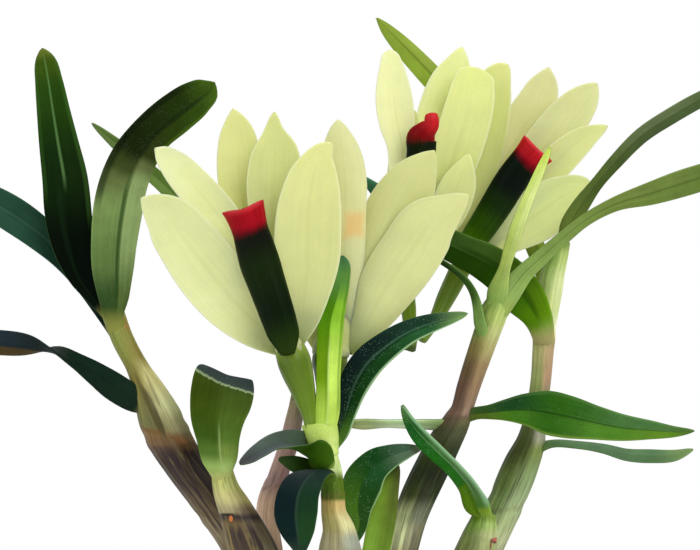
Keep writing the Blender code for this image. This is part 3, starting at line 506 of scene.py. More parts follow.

# %% [markdown]
# The canes come next. As a cane ages it swells, turns from green to tan and purple brown, and
# its old leaf bases dry to paper. Each cane therefore has its own colours by height, one list
# for its left side and one for its right, and the heights of its rings, where leaves sat. The
# two lists differ partly by painted light and shade, one side lit and the other in shade, and
# some dark bands are painted shadow.
# %% The canes' lines
# Canes: x, y, z and radius along the axis, from the creeping stem up
CANES = {
    "cane_left": [
        (-10.5, -1.5, 12, 2.2), (-10.8, -1.6, 15, 2.4), (-13.0, -2.5, 24, 2.7), (-15.4, -3.5, 32, 2.6),
        (-20.45, -4, 40, 2.8), (-23.7, -4, 44.5, 2.9), (-25.8, -4, 48, 3.1), (-27.15, -4, 51, 3.05),
        (-28.4, -4, 54, 2.45),
        (-30.3, -4, 58, 1.6), (-32.4, -4, 62, 1.55), (-33.9, -4, 66, 1.6),
    ],
    "cane_left_short": [
        (-8.5, -7.0, 12, 2.2), (-8.6, -7.3, 15, 2.5), (-10.8, -9.3, 24, 3.2), (-13.9, -10.6, 32, 3.3),
        (-16.45, -11, 38, 2.35), (-17.6, -11, 40.5, 1.9), (-18.3, -11, 43.4, 1.5),
    ],
    "cane_back_left": [
        (-6.0, 5.0, 12, 1.8), (-6.3, 5.1, 15, 1.8), (-8.8, 6, 23, 1.7), (-11.2, 6, 32, 1.6),
        (-11.6, 6, 39, 1.55), (-10.3, 6, 42.5, 1.4), (-8.8, 6, 47, 1.35), (-7.9, 6, 51, 1.2),
        (-7.5, 6, 53.5, 0.95),
    ],
    "cane_front": [
        (0.0, -5.0, 12, 2.4), (-0.1, -5.6, 15, 2.6), (-0.8, -9.4, 24, 3.1), (-1.4, -11.3, 32, 3.0),
        (-1.6, -11.8, 34.9, 2.3), (-2.25, -12, 37.2, 1.78), (-2.45, -12, 40.5, 1.68),
        (-2.95, -12, 43.4, 1.72),
        (-3.6, -12, 46.0, 1.75), (-4.1, -12, 48.6, 2.15), (-4.35, -12, 50.2, 2.2),
    ],
    "cane_right": [
        (4.0, 1.0, 12, 2.1), (4.1, 1.1, 15, 2.2), (5.6, 1.7, 23, 2.4), (7.6, 2, 32, 2.1),
        (8.6, 2, 36.5, 2.35), (11.85, 2, 44, 2.45), (13.9, 2, 48, 2.25), (14.95, 2, 49.8, 2.0),
        (15.85, 2, 51.7, 1.62), (16.95, 2, 55.3, 1.64), (17.8, 2, 57.9, 1.72), (18.8, 2, 60.8, 1.8),
        (19.7, 2, 63.4, 1.88), (20.35, 2, 65.4, 2.0), (21.2, 2, 67.3, 1.7), (21.9, 2, 68.8, 1.0),
    ],
    "cane_far_right": [
        (11.6, 5.5, 12, 2.0), (11.8, 5.8, 15, 2.1), (15.0, 8.3, 23, 2.2), (19.4, 10, 32, 2.3),
        (21.95, 10, 38, 2.52), (24.5, 10, 44.2, 2.5), (25.85, 10, 47.5, 2.05), (26.4, 10, 50.5, 1.6),
        (27.25, 10, 56, 1.45), (27.65, 10, 61, 1.54), (28.05, 10, 65.5, 1.66), (28.6, 10, 69, 1.75),
        (29.0, 10, 71.5, 1.7), (29.75, 10, 74, 1.42), (30.3, 10, 76.5, 1.25),
    ],
    "cane_right_short": [
        (10.3, -1.2, 12, 2.2), (10.5, -1.2, 15, 2.5), (14.2, 0, 23, 3.0), (17.8, 2.0, 31.5, 2.8),
        (18.8, 2.5, 34.8, 2.3), (19.3, 2.5, 37.4, 1.5),
    ],
    "cane_back_arch": [
        (-1.0, 7.5, 12, 1.4), (-1.0, 7.7, 15, 1.4), (-1.4, 9, 24, 1.3), (-2.0, 9, 33, 1.2),
        (-2.9, 9, 41, 1.0), (-2.5, 9, 48, 0.95), (0.0, 9, 54, 0.9), (3.3, 9, 59.2, 0.9),
        (6.3, 9, 61.6, 0.85), (9.5, 9, 61.2, 1.05),
    ],
}

# Heights of the rings, then colours by height on the left and on the right. A ring of its own
# kind has a height, how much higher its right end is, a colour and a strength.
# The colours by height are partly the cane's own and partly painted light and shade.
CANE_LOOKS = {
    # On cane_left the dark band from 41 to 46 mm is painted shadow beside the paddle's base, and the pale
    # right side from 49 to 57 mm is a painted highlight.
    "cane_left": ([21, 29.5, 37.5, (48.4, -1.6, (112, 76, 40), 0.45)], [
        (12, 120, 104, 74), (30, 104, 88, 66), (36, 128, 112, 84), (39, 104, 88, 63), (42, 65, 52, 39),
        (44.5, 56, 41, 31), (46.6, 92, 68, 50), (47.4, 118, 92, 58), (48.9, 128, 100, 54),
        (50, 113, 113, 64), (57, 132, 124, 56), (62, 135, 144, 65), (66, 149, 158, 82),
        (68, 126, 147, 71)], [
        (12, 92, 78, 58), (30, 84, 70, 52), (38, 82, 68, 49), (41, 57, 43, 34), (44.5, 43, 32, 30),
        (46.0, 50, 36, 28), (47.0, 110, 82, 52), (48.2, 142, 116, 76), (49.4, 170, 162, 116),
        (53, 209, 209, 151), (57, 212, 204, 136), (60, 152, 141, 69), (66, 147, 154, 74),
        (68, 110, 134, 60)]),
    "cane_left_short": ([20, 28], [
        (12, 110, 94, 70), (28, 104, 86, 58), (33, 134, 114, 66), (36, 118, 98, 58), (37.2, 56, 40, 34),
        (38, 164, 152, 112), (40, 198, 192, 126), (42, 188, 192, 110), (44, 176, 186, 98)], [
        (12, 84, 68, 54), (28, 96, 88, 66), (33, 112, 102, 76), (36, 92, 80, 58), (37.2, 42, 30, 28),
        (38, 92, 76, 52), (40, 150, 144, 86), (42, 160, 164, 90), (44, 160, 170, 88)]),
    "cane_back_left": ([20, 30, 41, 47], [
        (12, 160, 139, 111), (38, 235, 197, 167), (42, 187, 153, 148), (44, 197, 160, 148),
        (48, 187, 155, 146), (53, 160, 148, 112)], [
        (12, 130, 112, 89), (38, 206, 171, 146), (42, 157, 121, 119), (44, 164, 128, 124),
        (48, 155, 126, 122), (53, 127, 126, 86)]),
    "cane_front": ([20, 28, (40.2, 0.2, (120, 104, 50), 0.4)], [
        (12, 135, 128, 104), (30, 151, 141, 118), (34, 174, 166, 124), (36, 174, 166, 102),
        (39.2, 180, 158, 86), (39.9, 66, 92, 6), (42.5, 69, 104, 5), (44, 176, 200, 108),
        (47, 204, 230, 120),
        (50, 200, 226, 108)], [
        (12, 126, 124, 102), (30, 131, 128, 110), (34, 161, 166, 146), (36, 220, 216, 155),
        (39.2, 206, 178, 112), (39.9, 82, 108, 10), (42.5, 84, 114, 9), (44, 198, 220, 142),
        (47, 222, 242, 146), (50, 200, 226, 118)]),
    "cane_right": ([19, 27, (50.8, 0.5, (96, 70, 56), 0.5)], [
        (12, 156, 142, 107), (30, 171, 170, 120), (34, 225, 234, 174), (37, 163, 172, 122),
        (40, 49, 61, 15), (43, 30, 45, 2), (46, 47, 59, 12), (49, 66, 70, 38), (50.6, 88, 76, 52),
        (51.6, 110, 84, 66), (55, 103, 76, 58), (58, 103, 82, 53), (61, 126, 114, 62), (63, 128, 138, 68),
        (65.5, 130, 152, 72), (68, 116, 146, 58)], [
        (12, 122, 111, 89), (30, 125, 119, 91), (34, 156, 155, 120), (37, 112, 119, 94), (40, 39, 51, 17),
        (43, 23, 35, 2), (46, 41, 55, 14), (49, 76, 80, 48), (50.6, 100, 96, 60), (51.6, 150, 124, 104),
        (55, 152, 123, 93), (58, 155, 130, 90), (61, 180, 174, 112), (63, 194, 200, 128),
        (65.5, 184, 204, 112), (68, 158, 188, 92)]),
    "cane_far_right": ([20, 28, 37.6, (62.0, 0.1, (150, 150, 90), 0.4)], [
        (12, 131, 126, 93), (33, 163, 177, 115), (36, 129, 152, 93), (39, 105, 130, 67), (42, 96, 117, 54),
        (46, 61, 73, 21), (50, 78, 90, 42), (53, 112, 130, 70), (57, 163, 174, 104), (60, 182, 181, 116),
        (61.6, 176, 178, 108), (62.4, 246, 246, 166), (63.8, 246, 246, 189), (65, 227, 240, 132),
        (70, 174, 200, 114), (74, 132, 166, 72), (76, 100, 128, 34)], [
        (12, 114, 109, 85), (33, 198, 208, 155), (36, 176, 193, 137), (39, 158, 178, 126),
        (42, 141, 163, 106), (46, 120, 138, 69), (48, 154, 154, 132), (50.5, 162, 160, 148),
        (53, 132, 132, 92), (57, 185, 150, 116), (60, 187, 161, 118), (61.6, 170, 152, 106),
        (62.4, 246, 234, 152), (63.8, 246, 246, 202), (66, 220, 234, 158), (70, 228, 240, 168),
        (74, 192, 214, 122), (76, 132, 158, 62)]),
    "cane_right_short": ([20, 28], [
        (12, 104, 93, 69), (30, 110, 106, 68), (33, 108, 122, 64), (34, 110, 126, 66), (35.6, 104, 136, 50),
        (36.5, 92, 126, 18)], [
        (12, 89, 79, 60), (30, 130, 128, 88), (33, 164, 173, 112), (34, 183, 191, 131),
        (35.6, 160, 186, 100), (36.5, 126, 156, 56)]),
    "cane_back_arch": ([22, 32, 44, 54, 60], [
        (12, 130, 118, 86), (36, 140, 134, 92), (48, 110, 128, 62), (62, 96, 122, 44)], [
        (12, 104, 94, 70), (36, 112, 108, 74), (48, 88, 106, 48), (62, 80, 104, 36)]),
}
print("Canes:", len(CANES))

# %% [markdown]
# Each leaf has its own history. Old leaves are nearly black green, young ones yellow green, and a
# leaf that has turned over shows its dull back. So each leaf gets its own few colours, partly its
# own and partly painted light: grey and blue-grey stretches are painted reflections of the sky,
# pale stripes such as a lit midrib are painted highlights, and dark stretches where a leaf turns
# away from the light are painted shade. The two halves differ by light as well as by age. They're
# screen colours.
# %% Colours of the leaves
LOOKS = {
    # The pale line along the midrib is a painted highlight.
    "leaf_left_tall": {
        "left": [(0, 6, 20, 10), (0.3, 2, 11, 1), (0.6, 14, 38, 6), (0.85, 36, 68, 12), (0.95, 56, 81, 15),
                (1, 103, 115, 39)],
        "right": [(0, 4, 14, 8), (0.3, 1, 12, 2), (0.6, 19, 41, 6), (0.85, 34, 66, 10), (0.95, 58, 82, 16),
                 (1, 105, 117, 42)],
        "lines": [((104, 146, 84), -0.04, 0.12, 0.55, 0.99, 0.5),
                 ((60, 100, 36), -0.9, 0.12, 0.5, 0.96, 0.25), ((70, 112, 44), 0.9, 0.14, 0.4, 0.95, 0.3),
                 ((40, 70, 40), -0.3, 0.2, 0.1, 0.5, 0.12)],
        "soft": 0.3},
    # The pale grey-green stretch on the lower part is a painted reflection of the sky, and the dark upper
    # part is painted shade where the leaf bends over and faces down, away from the light.
    "leaf_left_bent": {
        "left": [(0, 51, 76, 27), (0.1, 53, 78, 36), (0.22, 96, 122, 66), (0.42, 118, 142, 82),
                (0.5, 100, 116, 66), (0.56, 60, 72, 32), (0.63, 24, 36, 8), (0.85, 32, 50, 8),
                (1, 62, 88, 20)],
        "right": [(0, 60, 88, 36), (0.1, 90, 112, 58), (0.3, 140, 162, 102), (0.52, 142, 164, 104),
                 (0.59, 96, 108, 62), (0.64, 44, 54, 18), (0.78, 40, 58, 8), (0.9, 46, 70, 12),
                 (1, 66, 94, 22)],
        "lines": [((40, 70, 22), 0.24, 0.14, 0.1, 0.5, 0.8), ((12, 20, 6), -0.9, 0.3, 0.45, 0.9, 0.7),
                 ((84, 116, 30), 0.95, 0.12, 0.66, 0.97, 0.35), ((20, 32, 6), 0.2, 0.18, 0.66, 0.95, 0.6)],
        "split": 0.3,
        "specks": 0.12},
    "leaf_back_thin": {
        "left": [(0, 94, 124, 44), (0.4, 118, 152, 66), (0.8, 124, 154, 78), (1, 110, 136, 72)],
        "right": [(0, 84, 112, 40), (0.4, 100, 134, 54), (0.8, 104, 134, 62), (1, 96, 122, 62)]},
    "leaf_left_edge": {
        "left": [(0, 10, 20, 13), (0.3, 28, 56, 44), (0.6, 38, 74, 56), (1, 60, 88, 73)],
        "right": [(0, 12, 24, 16), (0.3, 24, 52, 37), (0.6, 36, 70, 52), (1, 42, 79, 57)],
        "lines": [((80, 108, 90), 0.0, 0.09, 0.15, 0.95, 0.25)]},
    "leaf_left_low": {
        "left": [(0, 22, 40, 27), (0.4, 14, 36, 24), (0.6, 26, 34, 30), (1, 30, 36, 30)],
        "right": [(0, 24, 44, 30), (0.4, 16, 38, 26), (0.6, 30, 36, 30), (1, 34, 38, 30)],
        "under_right": [(0, 62, 62, 38), (0.6, 74, 62, 34), (1, 84, 66, 40)],
        "under": [(0, 30, 40, 34), (0.6, 30, 40, 40), (0.8, 34, 46, 54), (1, 44, 58, 68)],
        "split": 0.1},
    # The pale line at 0.665 along the back is a painted highlight on the crease, and the blue-grey band
    # beyond it is a painted reflection of the sky on the part bent back.
    "leaf_paddle": {
        "left": [(0, 60, 84, 30), (0.6, 50, 66, 44), (1, 34, 46, 46)],
        "under": [(0, 180, 192, 120), (0.08, 156, 182, 104), (0.2, 110, 133, 60), (0.32, 78, 106, 36),
                 (0.45, 74, 98, 30), (0.6, 62, 82, 24), (0.655, 60, 80, 24), (0.665, 150, 168, 124),
                 (0.68, 56, 68, 62), (0.8, 44, 58, 62), (1, 30, 42, 44)],
        "under_right": [(0, 176, 190, 116), (0.08, 150, 178, 96), (0.2, 78, 109, 39), (0.32, 56, 82, 22),
                       (0.45, 56, 76, 12), (0.6, 52, 68, 10), (0.655, 54, 72, 14), (0.665, 140, 158, 116),
                       (0.68, 52, 64, 60), (0.8, 44, 56, 60), (1, 30, 42, 44)],
        "lines": [((150, 176, 110), -0.05, 0.08, 0.02, 0.36, 0.6),
                 ((58, 80, 18), 0.16, 0.3, 0.3, 0.56, 0.5)],
        "split": 0.05,
        "soft": 0.22,
        "lean": 0.03,
        "fade": 0.1},
    # The bluish stripe near the midrib is a painted highlight.
    "leaf_arch": {
        "left": [(0, 96, 128, 50), (0.1, 40, 66, 24), (0.22, 14, 34, 26), (0.5, 14, 32, 30),
                (0.8, 26, 56, 40), (1, 100, 133, 80)],
        "right": [(0, 112, 146, 60), (0.1, 62, 100, 30), (0.25, 22, 62, 20), (0.5, 18, 60, 20),
                 (0.8, 36, 84, 44), (1, 114, 148, 86)],
        "lines": [((150, 184, 134), 0.97, 0.1, 0.15, 0.95, 0.8),
                 ((86, 120, 108), 0.05, 0.16, 0.25, 0.9, 0.3), ((8, 30, 14), 0.2, 0.14, 0.2, 0.9, 0.5)],
        "specks": 0.35,
        "soft": 0.4},
    "leaf_curl": {
        "left": [(0, 40, 70, 12), (0.25, 77, 90, 78), (0.7, 84, 94, 93), (1, 72, 72, 74)],
        "right": [(0, 40, 70, 12), (0.25, 59, 79, 55), (0.7, 80, 94, 84), (1, 68, 71, 70)],
        "under": [(0, 60, 96, 14), (0.3, 44, 76, 8), (0.6, 52, 84, 20), (1, 70, 96, 44)]},
    "leaf_small": {
        "left": [(0, 30, 54, 10), (1, 60, 88, 42)],
        "under": [(0, 36, 58, 8), (0.5, 26, 50, 2), (1, 62, 90, 44)]},
    "leaf_drooping": {
        "left": [(0, 30, 50, 30), (0.25, 36, 56, 48), (0.55, 23, 54, 30), (0.8, 31, 67, 32),
                (1, 34, 52, 44)],
        "right": [(0, 30, 46, 40), (0.25, 42, 54, 52), (0.55, 11, 29, 31), (0.8, 14, 34, 33),
                 (1, 46, 62, 50)],
        "under": [(0, 84, 112, 34), (0.3, 66, 92, 24), (1, 62, 78, 26)],
        "lines": [((80, 104, 86), 0.0, 0.1, 0.12, 0.9, 0.2)],
        "soft": 0.2},
    "leaf_cup": {
        "left": [(0, 84, 111, 36), (0.3, 59, 98, 22), (0.6, 16, 62, 19), (0.85, 64, 92, 70),
                (1, 98, 112, 78)],
        "right": [(0, 38, 74, 21), (0.3, 28, 67, 17), (0.6, 24, 70, 29), (0.85, 84, 108, 84),
                 (1, 100, 114, 80)],
        "lines": [((136, 170, 112), 0.96, 0.07, 0.1, 0.95, 0.8)],
        "specks": 0.4},
    "leaf_low_upright": {
        "left": [(0, 120, 160, 66), (1, 84, 98, 40)],
        "under": [(0, 126, 167, 62), (0.5, 102, 131, 43), (0.8, 89, 105, 39), (1, 60, 70, 30)],
        "under_right": [(0, 156, 200, 83), (0.5, 136, 177, 64), (0.8, 126, 162, 52), (1, 62, 74, 32)],
        "soft": 0.6},
    # Its pale green stripes are painted highlights.
    "leaf_folded": {
        "left": [(0, 132, 158, 60), (0.2, 88, 126, 16), (0.33, 78, 118, 16), (0.37, 38, 100, 25),
                (0.6, 33, 104, 24), (0.85, 27, 92, 30), (1, 84, 130, 60)],
        "right": [(0, 150, 178, 70), (0.12, 130, 162, 50), (0.18, 79, 125, 52), (0.35, 103, 146, 89),
                 (0.6, 97, 152, 82), (0.85, 57, 122, 52), (1, 110, 150, 96)],
        "lines": [((150, 190, 150), 0.9, 0.2, 0.2, 0.95, 0.7), ((16, 60, 22), 0.45, 0.12, 0.3, 0.95, 0.55),
                 ((110, 160, 110), 0.15, 0.2, 0.3, 0.95, 0.45), ((60, 96, 10), -0.2, 0.3, 0.12, 0.34, 0.6)],
        "specks": 0.5,
        "fade": 0.12},
    "leaf_lance": {
        "left": [(0, 112, 128, 64), (0.09, 60, 96, 40), (0.25, 30, 74, 34), (0.45, 48, 100, 20),
                (0.8, 78, 122, 64), (1, 76, 108, 46)],
        "right": [(0, 122, 138, 66), (0.09, 96, 120, 40), (0.25, 68, 119, 27), (0.42, 48, 97, 20),
                 (0.65, 79, 129, 39), (0.9, 92, 132, 34), (1, 78, 110, 48)],
        "lines": [((20, 52, 12), 0.02, 0.08, 0.12, 0.9, 0.6), ((120, 146, 60), 0.94, 0.1, 0.2, 0.95, 0.6),
                 ((96, 128, 70), -0.93, 0.08, 0.2, 0.9, 0.35)],
        "specks": 0.2,
        "fade": 0.12},
    "leaf_strap": {
        "left": [(0, 90, 122, 76), (0.4, 96, 128, 92), (0.75, 92, 126, 86), (1, 126, 152, 94)],
        "right": [(0, 84, 118, 70), (0.4, 88, 122, 84), (0.75, 84, 116, 76), (1, 120, 148, 90)],
        "fade": 0.16},
    "leaf_pale": {
        "left": [(0, 130, 156, 84), (0.5, 229, 246, 204), (0.85, 190, 205, 144), (1, 152, 163, 98)],
        "right": [(0, 120, 146, 76), (0.5, 212, 243, 183), (0.85, 178, 195, 132), (1, 143, 155, 92)]},
    "leaf_sprout": {
        "left": [(0, 124, 158, 76), (0.3, 158, 178, 86), (0.7, 196, 215, 117), (1, 196, 220, 91)],
        "right": [(0, 140, 172, 88), (0.3, 177, 197, 107), (0.7, 215, 229, 143), (1, 200, 222, 99)]},
    "leaf_right_edge": {
        "left": [(0, 150, 178, 100), (0.12, 132, 160, 84), (0.5, 112, 132, 62), (0.8, 105, 126, 59),
                (1, 119, 139, 67)],
        "right": [(0, 150, 178, 100), (0.12, 140, 168, 88), (0.5, 105, 126, 57), (0.8, 96, 117, 52),
                 (1, 114, 134, 64)],
        "lines": [((126, 148, 72), -0.4, 0.16, 0.1, 0.6, 0.35),
                 ((126, 148, 72), 0.45, 0.16, 0.1, 0.6, 0.35), ((64, 84, 28), 0.0, 0.16, 0.1, 0.95, 0.45)]},
    "leaf_right_high": {
        "left": [(0, 108, 128, 54), (0.3, 82, 101, 47), (0.6, 98, 112, 74), (1, 78, 98, 56)],
        "right": [(0, 104, 124, 50), (0.3, 72, 90, 40), (0.6, 72, 89, 52), (1, 74, 94, 52)],
        "lines": [((58, 76, 34), 0.0, 0.1, 0.15, 0.95, 0.5)]},
    "leaf_wide": {
        "left": [(0, 116, 156, 40), (0.1, 84, 131, 9), (0.25, 50, 97, 5), (0.4, 40, 74, 6),
                (0.55, 30, 60, 2), (0.8, 24, 54, 8), (0.93, 50, 100, 70), (1, 60, 110, 80)],
        "right": [(0, 150, 178, 84), (0.1, 96, 141, 14), (0.25, 84, 124, 19), (0.4, 74, 108, 38),
                 (0.6, 60, 92, 34), (0.75, 40, 72, 20), (0.93, 60, 116, 84), (1, 70, 120, 90)],
        "lines": [((30, 70, 4), 0.1, 0.3, 0.12, 0.5, 0.6), ((78, 108, 50), 0.0, 0.07, 0.4, 0.95, 0.4)]},
    "leaf_wire": {
        "left": [(0, 128, 160, 84), (0.25, 110, 146, 70), (0.45, 50, 80, 30), (1, 20, 40, 14)],
        "right": [(0, 140, 170, 92), (0.3, 120, 156, 80), (0.5, 60, 92, 36), (1, 26, 46, 18)]},
    "leaf_top": {
        "left": [(0, 110, 130, 50), (1, 140, 164, 60)],
        "under": [(0, 108, 128, 48), (0.4, 134, 160, 54), (0.8, 146, 168, 68), (1, 138, 162, 58)],
        "under_right": [(0, 100, 120, 42), (0.4, 124, 148, 54), (0.8, 138, 164, 58), (1, 130, 154, 54)],
        "lines": [((92, 116, 34), 0.0, 0.16, 0.1, 0.95, 0.6)]},
    # The blue-green near its tip is a painted sheen.
    "leaf_front_upright": {
        "left": [(0, 200, 224, 112), (0.3, 150, 184, 60), (1, 66, 108, 70)],
        "under": [(0, 206, 228, 124), (0.14, 178, 208, 86), (0.35, 205, 239, 102), (0.7, 137, 191, 47),
                 (0.88, 96, 146, 64), (1, 70, 116, 76)],
        "under_right": [(0, 204, 226, 120), (0.14, 164, 196, 72), (0.35, 103, 143, 13), (0.7, 71, 122, 7),
                       (0.88, 84, 134, 60), (1, 66, 112, 70)],
        "lines": [((70, 110, 14), 0.3, 0.12, 0.15, 0.7, 0.35), ((60, 104, 12), -0.9, 0.2, 0.2, 0.9, 0.5),
                 ((206, 226, 140), 0.0, 0.2, 0.05, 0.5, 0.4)]},
}
print("Leaves with their own colours:", len(LOOKS))

